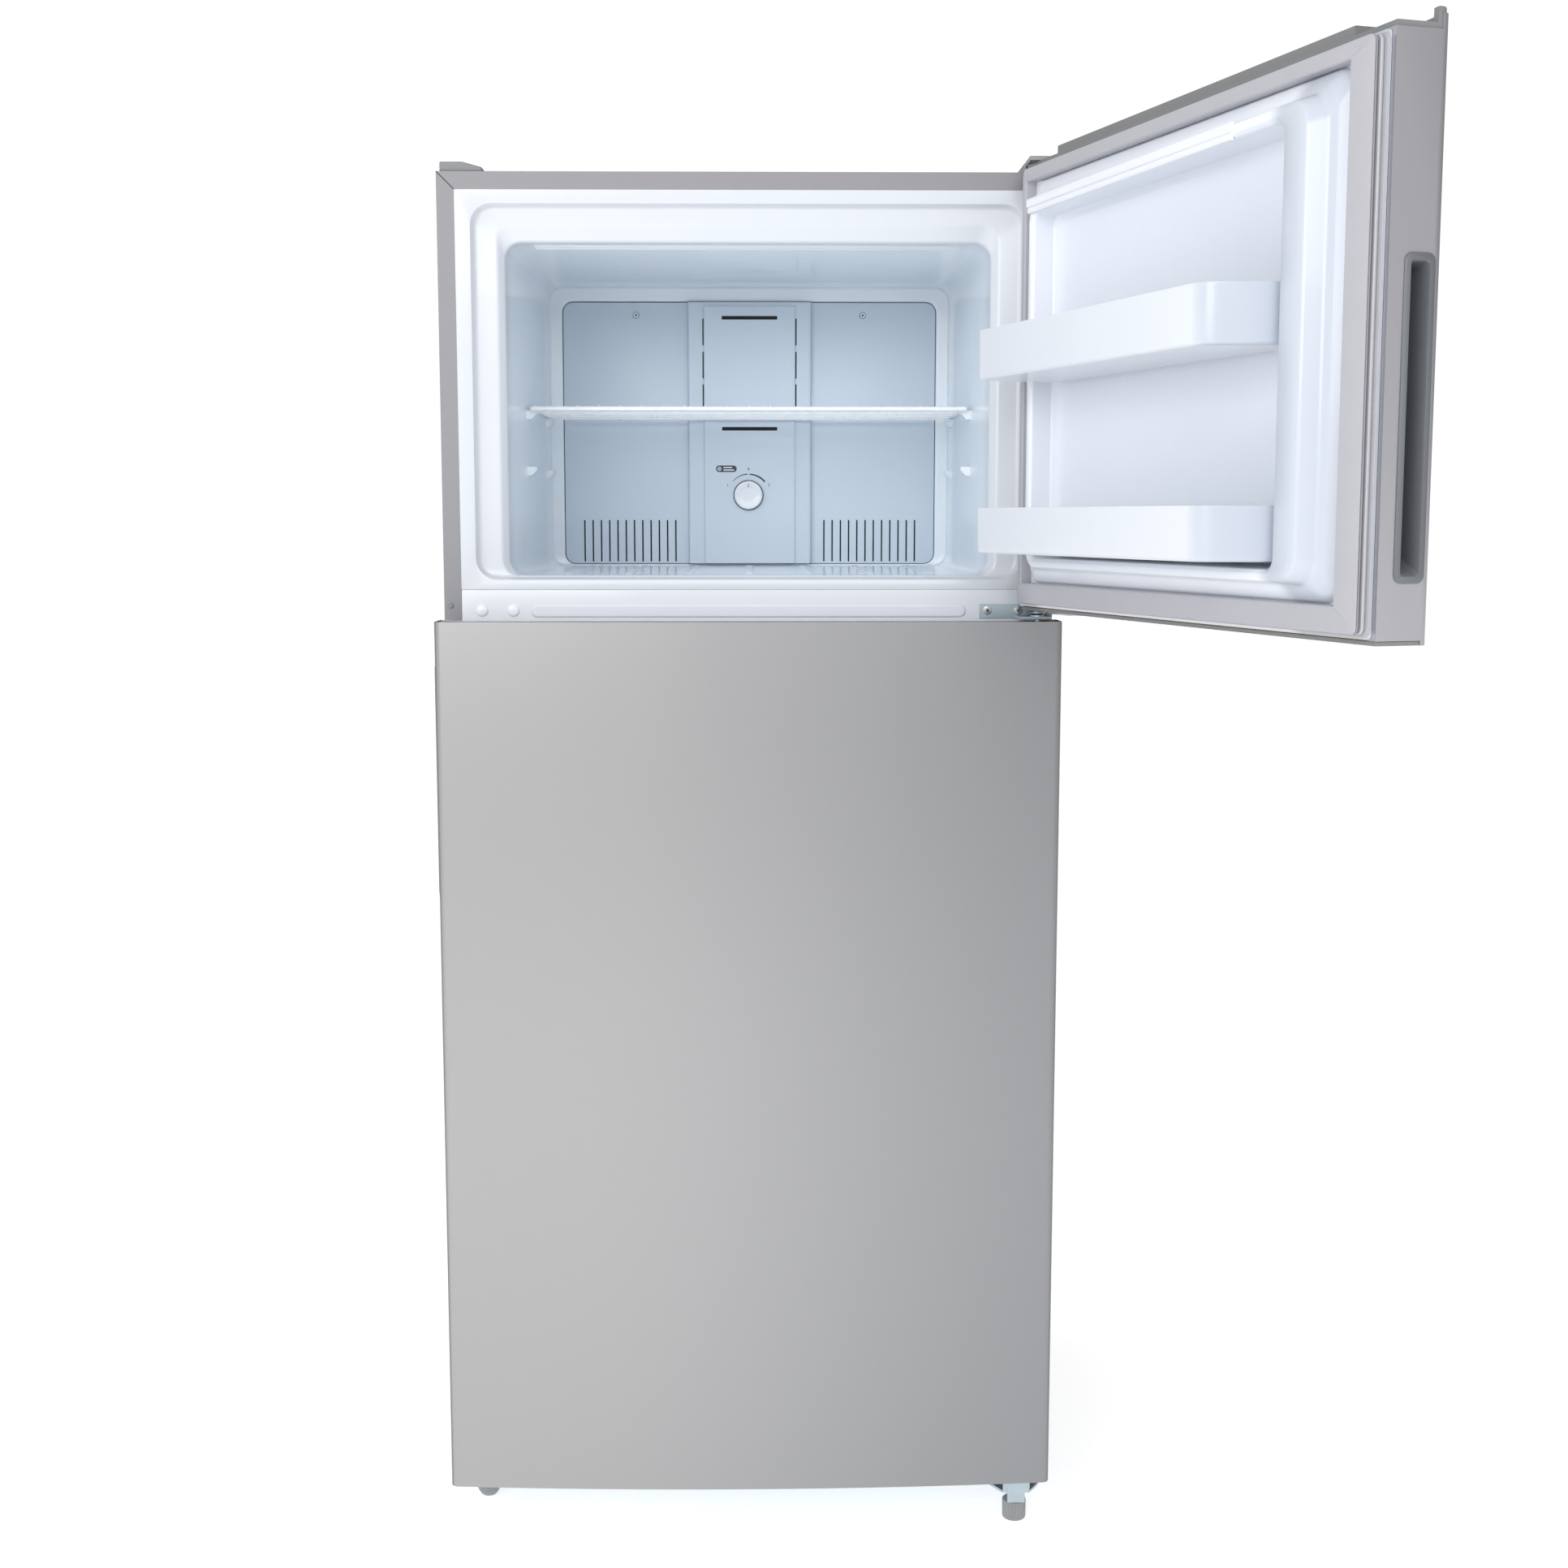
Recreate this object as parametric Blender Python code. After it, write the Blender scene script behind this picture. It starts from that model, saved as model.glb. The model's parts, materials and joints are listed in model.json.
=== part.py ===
"""A top freezer refrigerator, about 18 cubic feet, with its freezer door standing open.

Metres, +Z up. The design frame has x = 0 on the cabinet's middle, y = 0 on the cabinet's front
plane with -y towards the user, and z = 0 on the floor. The last step moves the whole model so
that its origin is the bottom centre of its bounding box, with the freezer door open.
Each door is drawn closed, about its own hinge axis, under an empty that stands on that axis.
"""

import math

import bmesh
import bpy
from mathutils import Matrix, Vector

# ---- driving dimensions -------------------------------------------------------------------
GAP = 0.0003            # clearance between pieces that touch
SHEET = 0.0012          # steel sheet
WALL = 0.0025           # vacuum-formed plastic

CASE_HALF = 0.3728      # half width of the steel case
CASE_TOP = 1.6860
CASE_BOTTOM = 0.0450
CASE_DEPTH = 0.6200
FRAME = 0.0210          # width of the steel border round the openings
MACHINE_Y = 0.4000      # front of the machine space
MACHINE_TOP = 0.2700    # its roof
CONDENSER_BACK = 0.6520

RAIL_BOTTOM, RAIL_TOP = 1.1210, 1.1875

DOOR_HALF = 0.3750
HINGE_X, HINGE_Y = 0.3500, -0.0345
FREEZER_ANGLE = math.radians(106.8)   # how far the freezer door stands open
FREEZER_Z = (1.1680, 1.6865)          # skin of the freezer door
FRIDGE_Z = (0.0750, 1.1520)           # skin of the fridge door
DOOR_IN_Y = 0.0120                    # inner plane, from the hinge axis
DOOR_SIDE_Y = -0.0425                 # front plane at the side edges
DOOR_BOW = 0.0125                     # how much further the middle stands forward
DOOR_EDGE_R = 0.0090
DOOR_HINGE_X = DOOR_HALF - HINGE_X
DOOR_FREE_X = -DOOR_HALF - HINGE_X
SEAL_Y = -HINGE_Y - GAP               # where the seal meets the cabinet

PIN_R, PIN_HOLE_R = 0.0040, 0.0048
HANDLE_LENGTH, HANDLE_INSET = 0.2830, 0.0500

SHELF_TOP = 1.4205
SHELF_FRONT, SHELF_BACK = 0.2000, 0.4750
SHELF_HALF = 0.2875

FOOT_RIGHT = (0.3380, -0.0260)
FOOT_LEFT = (-0.3445, 0.0470)
ROLLER_X, ROLLER_Y, ROLLER_R = 0.3300, 0.5600, 0.0210

FINISHES = {            # colour, roughness, metallic
    "case_paint": ((0.36, 0.35, 0.34), 0.50, 0.2),
    "door_steel": ((0.60, 0.60, 0.59), 0.30, 0.9),
    "grey_plastic": ((0.33, 0.33, 0.34), 0.45, 0.0),
    "white_plastic": ((0.86, 0.88, 0.90), 0.25, 0.0),
    "panel_plastic": ((0.78, 0.83, 0.88), 0.35, 0.0),
    "seal_rubber": ((0.47, 0.47, 0.48), 0.60, 0.0),
    "zinc": ((0.62, 0.68, 0.71), 0.35, 1.0),
    "bright_steel": ((0.80, 0.80, 0.80), 0.25, 1.0),
    "foam": ((0.85, 0.75, 0.50), 0.90, 0.0),
    "aluminium": ((0.78, 0.79, 0.80), 0.35, 1.0),
    "black_paint": ((0.03, 0.03, 0.03), 0.45, 0.2),
    "black_plastic": ((0.04, 0.04, 0.04), 0.50, 0.0),
    "clear_glass": ((0.75, 0.86, 0.83), 0.05, 0.0),
    "clear_plastic": ((0.80, 0.86, 0.90), 0.10, 0.0),
    "wire_coat": ((0.88, 0.90, 0.92), 0.30, 0.0),
}


# ---- modelling helpers --------------------------------------------------------------------
def clear_scene():
    for obj in list(bpy.data.objects):
        bpy.data.objects.remove(obj)


def empty(name, location, angle=0.0, parent=None):
    obj = bpy.data.objects.new(name, None)
    bpy.context.scene.collection.objects.link(obj)
    obj.location = location
    obj.rotation_euler.z = angle
    obj.parent = parent
    return obj


def material(name, finish):
    colour, roughness, metallic = FINISHES[finish]
    made = bpy.data.materials.new(name)
    made.use_nodes = True
    shader = made.node_tree.nodes["Principled BSDF"]
    shader.inputs["Base Color"].default_value = (*colour, 1.0)
    shader.inputs["Roughness"].default_value = roughness
    shader.inputs["Metallic"].default_value = metallic
    return made


def mesh_object(name, bm, parent):
    """An object in its parent's frame, with its faces pointing out."""
    bmesh.ops.recalc_face_normals(bm, faces=bm.faces)
    mesh = bpy.data.meshes.new(name)
    bm.to_mesh(mesh)
    bm.free()
    obj = bpy.data.objects.new(name, mesh)
    bpy.context.scene.collection.objects.link(obj)
    obj.parent = parent
    return obj


def node(name, bm, finish, parent, smooth=False):
    obj = mesh_object(name, bm, parent)
    obj.data.materials.append(material(name + "_finish", finish))
    if smooth:
        obj.data.shade_smooth()
        obj.data.set_sharp_from_angle(angle=math.radians(30))
    return obj


def combine(obj, bm, operation):
    """Cuts bm from obj, or joins it on, with a Boolean whose other half stays hidden."""
    helper = mesh_object(f"{obj.name}_{operation.lower()}_{len(obj.modifiers)}", bm, obj.parent)
    helper.hide_render = True
    helper.display_type = "WIRE"
    step = obj.modifiers.new(operation.title(), "BOOLEAN")
    step.operation = operation
    step.solver = "EXACT"
    step.object = helper


def cut(obj, bm):
    combine(obj, bm, "DIFFERENCE")


def join(obj, bm):
    combine(obj, bm, "UNION")


def boxes(*corner_pairs):
    """One mesh of boxes, each given by its lowest and highest corner."""
    bm = bmesh.new()
    for low, high in corner_pairs:
        low, high = Vector(low), Vector(high)
        place = Matrix.Translation((low + high) / 2) @ Matrix.Diagonal((*(high - low), 1))
        bmesh.ops.create_cube(bm, size=1, matrix=place)
    return bm


def prism(outline, axis, start, end):
    """A flat outline swept along one axis. The outline holds the other two coordinates in order."""
    def at(pair, along):
        values = list(pair)
        values.insert("XYZ".index(axis), along)
        return values

    bm = bmesh.new()
    face = bm.faces.new([bm.verts.new(at(p, start)) for p in outline])
    swept = bmesh.ops.extrude_face_region(bm, geom=[face])["geom"]
    moved = [v for v in swept if isinstance(v, bmesh.types.BMVert)]
    bmesh.ops.translate(bm, verts=moved, vec=at((0, 0), end - start))
    return bm


def loft(rings):
    """A closed body through rings of equal length, with flat caps on the first and last."""
    bm = bmesh.new()
    rows = [[bm.verts.new(p) for p in ring] for ring in rings]
    count = len(rows[0])
    for near, far in zip(rows, rows[1:]):
        for i in range(count):
            j = (i + 1) % count
            bm.faces.new((near[i], near[j], far[j], far[i]))
    bm.faces.new(rows[0])
    bm.faces.new(rows[-1][::-1])
    return bm


def turned(profile, centre, axis, sides=24):
    """A body turned about an axis through centre. The profile holds (radius, distance along)."""
    turn = {"X": Matrix.Rotation(math.pi / 2, 4, "Y"),
            "Y": Matrix.Rotation(-math.pi / 2, 4, "X"),
            "Z": Matrix.Identity(4)}[axis]
    place = Matrix.Translation(centre) @ turn
    angles = [2 * math.pi * i / sides for i in range(sides)]
    return loft([[place @ Vector((r * math.cos(a), r * math.sin(a), h)) for a in angles]
                 for r, h in profile])


def rounded_rect(x0, x1, z0, z1, radius, steps=4):
    """Points of a rounded rectangle, counter-clockwise from its right lower corner."""
    corners = [(x1 - radius, z0 + radius, -90), (x1 - radius, z1 - radius, 0),
               (x0 + radius, z1 - radius, 90), (x0 + radius, z0 + radius, 180)]
    points = []
    for cx, cz, first in corners:
        for i in range(steps + 1):
            a = math.radians(first + 90 * i / steps)
            points.append((cx + radius * math.cos(a), cz + radius * math.sin(a)))
    return points


def ring(x0, x1, z0, z1, radius, y, y_right=None, steps=4):
    """A rounded rectangle at depth y. With y_right its plane slopes from y at x0 to y_right at x1."""
    far = y if y_right is None else y_right
    return [(x, y + (far - y) * (x - x0) / (x1 - x0), z)
            for x, z in rounded_rect(x0, x1, z0, z1, radius, steps)]


def frame_between(outer, inner, y0, y1):
    """A flat rectangular ring. outer and inner are (x0, x1, z0, z1)."""
    bm = bmesh.new()
    loops = []
    for (x0, x1, z0, z1), y in ((outer, y0), (outer, y1), (inner, y1), (inner, y0)):
        loops.append([bm.verts.new(p) for p in
                      ((x0, y, z0), (x1, y, z0), (x1, y, z1), (x0, y, z1))])
    for near, far in zip(loops, loops[1:] + loops[:1]):
        for i in range(4):
            j = (i + 1) % 4
            bm.faces.new((near[i], near[j], far[j], far[i]))
    return bm


# ---- cabinet ------------------------------------------------------------------------------
# Inner surfaces of the liners, front to back: (depth, half width, bottom, top, corner radius).
FREEZER_MOUTH = [
    (0.0015, 0.3325, 1.2000, 1.6480, 0.024),
    (0.0050, 0.3305, 1.2005, 1.6460, 0.022),
    (0.0145, 0.3295, 1.2010, 1.6450, 0.021),
    (0.0146, 0.3030, 1.2015, 1.6265, 0.020),
    (0.0200, 0.2980, 1.2018, 1.6110, 0.020),
    (0.0340, 0.2940, 1.2020, 1.6050, 0.020),
]
FREEZER_DEEP = [
    (0.4970, 0.2885, 1.2050, 1.6045, 0.018),
    (0.4975, 0.2710, 1.2066, 1.5860, 0.016),
    (0.5600, 0.2700, 1.2070, 1.5850, 0.016),
]
FRIDGE_MOUTH = [
    (0.0015, 0.3325, 0.0880, 1.0980, 0.024),
    (0.0050, 0.3305, 0.0900, 1.0960, 0.022),
    (0.0145, 0.3295, 0.0910, 1.0950, 0.021),
    (0.0146, 0.3090, 0.1000, 1.0820, 0.020),
    (0.0200, 0.3040, 0.1040, 1.0760, 0.020),
    (0.0340, 0.3020, 0.1060, 1.0740, 0.020),
]
FRIDGE_DEEP = [
    (0.3590, 0.2995, 0.1060, 1.0735, 0.018),
    (0.3730, 0.2993, 0.3250, 1.0735, 0.018),
    (0.5600, 0.2980, 0.3250, 1.0730, 0.018),
]
FLANGE_HALF = 0.3580    # the liners' front flanges reach behind the steel border
FREEZER_FLANGE_Z = (RAIL_TOP + GAP, CASE_TOP - FRAME + 0.006)
FRIDGE_FLANGE_Z = (0.0620, RAIL_BOTTOM - GAP)

SHELF_LEDGES = (0.8300, 0.5700, 0.3060)     # tops of the fridge shelves' side ledges
LEDGE_HALF = 0.2930
PLUNGER = (-0.2000, 1.0885)     # x and z of the light switch's plunger
FAN_Y, FAN_Z = 0.5240, 1.4900
KNOB = (-0.0020, 1.3076)        # x and z of the freezer's control knob
SCREW_X = (0.2930, 0.3310)      # screws of the middle hinge
SCREW_Z = 1.1620


def section_ring(section, grow=0.0, back=0.0):
    y, half, z0, z1, radius = section
    return ring(-half - grow, half + grow, z0 - grow, z1 + grow, radius + grow, y + back)


def liner(name, mouth, deep, flange_z, parent):
    """A vacuum-formed box: a front flange, a stepped mouth and deep walls."""
    z0, z1 = flange_z
    inside = [section_ring(s) for s in mouth + deep]
    outside = [section_ring(s, WALL, WALL) for s in mouth + deep]
    flange = [ring(-FLANGE_HALF, FLANGE_HALF, z0, z1, 0.003, mouth[0][0] + t) for t in (0, WALL)]
    return node(name, loft(inside[::-1] + flange + outside), "white_plastic", parent, True)


def liner_space(mouth, deep, flange_z):
    """The room that a liner takes out of the foam."""
    spare = WALL + GAP
    z0, z1 = flange_z
    front = ring(-FLANGE_HALF - GAP, FLANGE_HALF + GAP, z0 - GAP, z1 + GAP, 0.003, -0.01)
    back = ring(-FLANGE_HALF - GAP, FLANGE_HALF + GAP, z0 - GAP, z1 + GAP, 0.003,
                mouth[0][0] + spare)
    return loft([front, back] + [section_ring(s, spare, spare) for s in mouth + deep])


def side_pair(half_in, half_out, y0, y1, z0, z1):
    """The same box on the left and on the right."""
    return boxes(((half_in, y0, z0), (half_out, y1, z1)), ((-half_out, y0, z0), (-half_in, y1, z1)))


def case_pieces(parent):
    inner = CASE_HALF - SHEET
    wrap = node("cabinet_wrap", boxes(((-CASE_HALF, 0, CASE_BOTTOM),
                                       (CASE_HALF, CASE_DEPTH, CASE_TOP))), "case_paint", parent)
    cut(wrap, boxes(((-inner, SHEET, CASE_BOTTOM - 0.01),
                     (inner, CASE_DEPTH + 0.01, CASE_TOP - SHEET))))
    opening = CASE_HALF - FRAME
    cut(wrap, boxes(((-opening, -0.01, CASE_BOTTOM + 0.022),
                     (opening, 0.01, CASE_TOP - FRAME))))

    inner -= GAP
    node("rear_panel", boxes(((-inner, CASE_DEPTH - 2 * SHEET, MACHINE_TOP + GAP),
                              (inner, CASE_DEPTH - SHEET, CASE_TOP - SHEET - GAP))),
         "case_paint", parent)

    floor = CASE_BOTTOM + SHEET
    step = MACHINE_Y + SHEET
    back = CASE_DEPTH - SHEET
    pan_outline = [(SHEET + GAP, CASE_BOTTOM), (back, CASE_BOTTOM), (back, floor), (step, floor),
                   (step, MACHINE_TOP - SHEET), (back, MACHINE_TOP - SHEET), (back, MACHINE_TOP),
                   (MACHINE_Y, MACHINE_TOP), (MACHINE_Y, floor), (SHEET + GAP, floor)]
    pan = node("base_pan", prism(pan_outline, "X", -inner, inner), "zinc", parent)
    cut(pan, turned([(PIN_HOLE_R, 0.04), (PIN_HOLE_R, 0.05)], (*FOOT_LEFT, 0), "Z"))

    foam = node("cabinet_foam", boxes(((-inner, 0.0045, floor + GAP),
                                       (inner, CASE_DEPTH - 2 * SHEET - GAP,
                                        CASE_TOP - SHEET - GAP))), "foam", parent)
    cut(foam, boxes(((-1, MACHINE_Y - GAP, 0), (1, 1, MACHINE_TOP + GAP))))
    cut(foam, liner_space(FREEZER_MOUTH, FREEZER_DEEP, FREEZER_FLANGE_Z))
    cut(foam, liner_space(FRIDGE_MOUTH, FRIDGE_DEEP, FRIDGE_FLANGE_Z))
    cut(foam, boxes(((-1, 0, RAIL_BOTTOM - GAP), (1, 0.0125, RAIL_TOP + GAP))))
    cut(foam, turned([(0.007, 0.04), (0.007, 0.062)], (*FOOT_LEFT, 0), "Z"))
    cut(foam, side_pair(0.2895, 0.2950, 0.205, 0.465, 1.397, 1.417))
    cut(foam, turned([(0.007, 0.0), (0.007, 0.046)], (PLUNGER[0], 0, PLUNGER[1]), "Y"))


def liner_pieces(parent):
    freezer = liner("freezer_liner", FREEZER_MOUTH, FREEZER_DEEP, FREEZER_FLANGE_Z, parent)
    for y in (0.215, 0.430):
        join(freezer, side_pair(0.2790, 0.2935, y, y + 0.030, 1.3990, SHELF_TOP - 0.0055))
    fridge = liner("fridge_liner", FRIDGE_MOUTH, FRIDGE_DEEP, FRIDGE_FLANGE_Z, parent)
    for top in SHELF_LEDGES[:2]:
        join(fridge, side_pair(LEDGE_HALF, 0.3003, 0.115, 0.500, top - 0.012, top))
    join(fridge, side_pair(LEDGE_HALF, 0.3010, 0.115, 0.340, SHELF_LEDGES[2] - 0.006,
                           SHELF_LEDGES[2]))
    cut(fridge, turned([(0.0046, 0.0), (0.0046, 0.03)], (PLUNGER[0], 0, PLUNGER[1]), "Y"))

    rail = node("mullion_rail", boxes(((-0.3515, 0, RAIL_BOTTOM), (0.3515, 0.0120, RAIL_TOP))),
                "white_plastic", parent)
    rib = [(x, z) for x, z in rounded_rect(-0.2655, 0.2655, 1.1545, 1.1690, 0.0070)]
    join(rail, prism(rib, "Y", -0.0015, 0.004))
    for x in (-0.3270, -0.2885):
        join(rail, turned([(0.0072, 0.004), (0.0072, -0.001), (0.0050, -0.0024)],
                          (x, 0, 1.1623), "Y", 16))
    for x in SCREW_X:
        cut(rail, turned([(0.0026, -0.02), (0.0026, 0.02)], (x, 0, SCREW_Z), "Y", 12))


def evaporator_pieces(parent):
    front = 0.4980
    panel = rounded_rect(-0.2695, 0.2695, 1.2085, 1.5840, 0.015)
    cover = node("evaporator_cover", prism(panel, "Y", front, front + 0.003), "panel_plastic",
                 parent)
    join(cover, boxes(((-0.0900, front - 0.011, 1.2083), (0.0900, front + 0.001, 1.5855))))
    join(cover, boxes(((-0.0660, front - 0.014, 1.2081), (0.0660, front - 0.010, 1.5810))))
    cut(cover, boxes(((-0.0870, front - 0.0090, 1.2150), (0.0870, front + 0.01, 1.5780))))
    cut(cover, boxes(((-0.0640, front - 0.0120, 1.2200), (0.0640, front + 0.01, 1.5750))))
    slots = [((-0.0400, 0.40, z - 0.0025), (0.0400, 0.60, z + 0.0025)) for z in (1.5612, 1.4032)]
    for x in (-0.0685, 0.0670):
        slots += [((x, 0.40, z), (x + 0.0015, 0.60, z + 0.0380))
                  for z in (1.4289, 1.4752, 1.5224)]
    cut(cover, boxes(*slots))
    vents = [((side * (0.1085 + 0.0121 * i) - 0.0011, 0.40, 1.2110),
              (side * (0.1085 + 0.0121 * i) + 0.0011, 0.60, 1.2725))
             for side in (-1, 1) for i in range(12)]
    cut(cover, boxes(*vents))
    cut(cover, turned([(0.0046, 0.45), (0.0046, 0.55)], (KNOB[0], 0, KNOB[1]), "Y", 16))

    fins = 20
    comb = [(-0.200, 0.525), (-0.200, 0.510)]
    for i in range(fins):
        x = -0.200 + 0.400 * i / (fins - 1)
        start = max(-0.200, x - 0.0025)
        comb += [(start, 0.525), (start, 0.510), (x + 0.0025, 0.510), (x + 0.0025, 0.525)]
    comb = comb[2:]
    comb += [(x, 1.054 - y) for x, y in reversed(comb)]
    node("evaporator_coil", prism(comb, "Z", 1.240, 1.400), "aluminium", parent)
    heater = [(-0.190, 1.216), (0.190, 1.216), (0.190, 1.224), (-0.190, 1.224)]
    node("defrost_heater", prism(heater, "Y", 0.522, 0.530), "bright_steel", parent)

    place = (0, FAN_Y, FAN_Z)
    node("evaporator_fan_motor", turned([(0.026, 0.012), (0.026, 0.030)], place, "Y"),
         "black_plastic", parent, True)
    fan = node("evaporator_fan", turned([(0.014, -0.006), (0.016, -0.004), (0.016, 0.009)],
                                        place, "Y", 16), "black_plastic", parent, True)
    for i in range(4):
        bm = boxes(((0.012, -0.0012, -0.014), (0.048, 0.0012, 0.014)))
        bm.transform(Matrix.Translation(place) @ Matrix.Rotation(math.pi / 2 * i, 4, "Y")
                     @ Matrix.Rotation(math.radians(20), 4, "X"))
        join(fan, bm)


def knob_and_shelf(parent):
    knob = empty("freezer_knob_axis", (KNOB[0], 0.4840, KNOB[1]), parent=parent)
    profile = [(0.0040, 0.008), (0.0040, -GAP), (0.0205, -GAP), (0.0205, -0.012),
               (0.0180, -0.016)]
    dial = node("freezer_control_knob", turned(profile, (0, 0, 0), "Y"), "white_plastic", knob,
                True)
    join(dial, boxes(((-0.0012, -0.0172, -0.016), (0.0012, -0.014, 0.016))))

    wires = 19
    low, high = SHELF_TOP - 0.0045, SHELF_TOP
    shelf = node("freezer_wire_shelf", boxes(((-SHELF_HALF, SHELF_FRONT, low),
                                              (SHELF_HALF, SHELF_BACK, high))),
                 "wire_coat", parent)
    pitch = (2 * SHELF_HALF - 0.004) / wires
    rows = (SHELF_BACK - SHELF_FRONT) / 3
    windows = []
    for i in range(wires):
        x = -SHELF_HALF + 0.004 + pitch * i
        windows += [((x, SHELF_FRONT + rows * k + 0.004, low - 0.01),
                     (x + pitch - 0.004, SHELF_FRONT + rows * (k + 1) - 0.004, high + 0.01))
                    for k in range(3)]
    cut(shelf, boxes(*windows))


def hinge_pieces(parent):
    axis = (HINGE_X, HINGE_Y, 0)
    top = CASE_TOP + GAP
    rise = 1.6924
    outline = [(0.080, top), (0.014, top), (0.008, rise), (HINGE_Y - 0.0115, rise),
               (HINGE_Y - 0.0115, rise + 0.0025), (0.0095, rise + 0.0025), (0.0155, top + 0.0025),
               (0.080, top + 0.0025)]
    bracket = node("top_hinge_bracket", prism(outline, "X", 0.3350, 0.3660), "zinc", parent)
    join(bracket, turned([(PIN_R, 1.676), (PIN_R, rise + 0.0015)], axis, "Z", 16))

    front = -0.0485
    shape = [(0.088, top), (0.001, top), (0.001, rise), (front, rise), (front, 1.6955),
             (front + 0.003, 1.6975), (0.080, 1.6975), (0.088, 1.6940)]
    cover = node("top_hinge_cover", prism(shape, "X", 0.3320, 0.3705), "grey_plastic", parent)
    cut(cover, boxes(((0.3340, front + 0.002, 1.60), (0.3685, 0.086, 1.6953))))

    left = [(-0.3690, top), (-0.3690, 1.6978), (-0.3420, 1.6978), (-0.3180, 1.6915),
            (-0.3180, top)]
    cap = node("top_left_cap", prism([(x, z) for x, z in left], "Y", 0.004, 0.075),
               "grey_plastic", parent)
    bevel = cap.modifiers.new("Edges", "BEVEL")
    bevel.width = 0.0015
    bevel.segments = 1

    middle = node("mid_hinge_bracket", boxes(((0.2830, -0.0022, 1.1528),
                                              (0.3505, -GAP, 1.1700))), "zinc", parent)
    join(middle, boxes(((0.3270, HINGE_Y - 0.0115, 1.1535), (0.3660, -0.0008, 1.1565))))
    join(middle, turned([(PIN_R, 1.136), (PIN_R, 1.1545), (0.0080, 1.1545), (0.0080, 1.1580),
                         (0.0060, 1.1580), (0.0060, 1.1622), (PIN_R, 1.1622), (PIN_R, 1.180)],
                        axis, "Z", 16))
    for x, name in zip(SCREW_X, ("inner", "outer")):
        cut(middle, turned([(0.0026, -0.02), (0.0026, 0.02)], (x, 0, SCREW_Z), "Y", 12))
        node(f"mid_hinge_screw_{name}",
             turned([(0.0030, -0.0050), (0.0044, -0.0040), (0.0046, -0.0025), (0.0021, -0.0025),
                     (0.0021, 0.0100)], (x, 0, SCREW_Z), "Y", 12), "bright_steel", parent, True)


def base_pieces(parent):
    axis = (HINGE_X, HINGE_Y, 0)
    under = CASE_BOTTOM - GAP
    plate_bottom = under - 0.003
    x, strap_y = FOOT_RIGHT[0], FOOT_RIGHT[1] - 0.0200
    plan = [(x - 0.017, strap_y), (x + 0.017, strap_y), (x + 0.027, strap_y + 0.015),
            (x + 0.032, strap_y + 0.024), (x + 0.032, 0.0700), (x - 0.033, 0.0700),
            (x - 0.033, strap_y + 0.024), (x - 0.027, strap_y + 0.015)]
    bracket = node("bottom_hinge_bracket", prism(plan, "Z", plate_bottom, under), "zinc", parent)
    join(bracket, turned([(0.0065, plate_bottom + 0.001), (0.0065, 0.0704), (PIN_R, 0.0704),
                          (PIN_R, 0.0880)], axis, "Z", 16))
    join(bracket, boxes(((x - 0.011, strap_y - 0.0010, 0.0290),
                         (x + 0.011, strap_y + 0.0015, 0.0520))))
    join(bracket, boxes(((x - 0.017, strap_y - 0.0012, 0.0485),
                         (x + 0.017, strap_y + 0.0010, 0.0580))))
    join(bracket, boxes(((x - 0.017, strap_y, plate_bottom + 0.001),
                         (x + 0.017, strap_y + 0.0020, 0.0500))))
    cut(bracket, turned([(PIN_HOLE_R, 0.03), (PIN_HOLE_R, 0.06)], (*FOOT_RIGHT, 0), "Z", 16))

    for side, (x, y), sole, stem in (
            ("right", FOOT_RIGHT, [(0.0138, 0), (0.0148, 0.002), (0.0152, 0.0250)], 0.0445),
            ("left", FOOT_LEFT, [(0.0090, 0), (0.0125, 0.004), (0.0162, 0.0130),
                                 (0.0162, 0.0220)], 0.0580)):
        pivot = empty(f"foot_{side}_axis", (x, y, 0), parent=parent)
        height = sole[-1][1]
        node(f"foot_{side}", turned(sole + [(PIN_R, height), (PIN_R, stem)], (0, 0, 0), "Z"),
             "grey_plastic", pivot, True)

    for side, sign in (("left", -1), ("right", 1)):
        x = sign * ROLLER_X
        shape = [(x - 0.012, 0.010), (x - 0.012, under), (x + 0.012, under), (x + 0.012, 0.010),
                 (x + 0.010, 0.010), (x + 0.010, under - 0.002), (x - 0.010, under - 0.002),
                 (x - 0.010, 0.010)]
        fork = node(f"roller_bracket_{side}", prism(shape, "Y", ROLLER_Y - 0.012,
                                                    ROLLER_Y + 0.012), "zinc", parent)
        join(fork, turned([(0.003, -0.011), (0.003, 0.011)], (x, ROLLER_Y, ROLLER_R), "X", 12))
        pivot = empty(f"roller_{side}_axis", (x, ROLLER_Y, ROLLER_R), parent=parent)
        wheel = node(f"roller_{side}", turned([(ROLLER_R - 0.001, -0.009), (ROLLER_R, -0.008),
                                               (ROLLER_R, 0.008), (ROLLER_R - 0.001, 0.009)],
                                              (0, 0, 0), "X", 32), "black_plastic", pivot, True)
        cut(wheel, turned([(0.0036, -0.02), (0.0036, 0.02)], (0, 0, 0), "X", 12))


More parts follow.
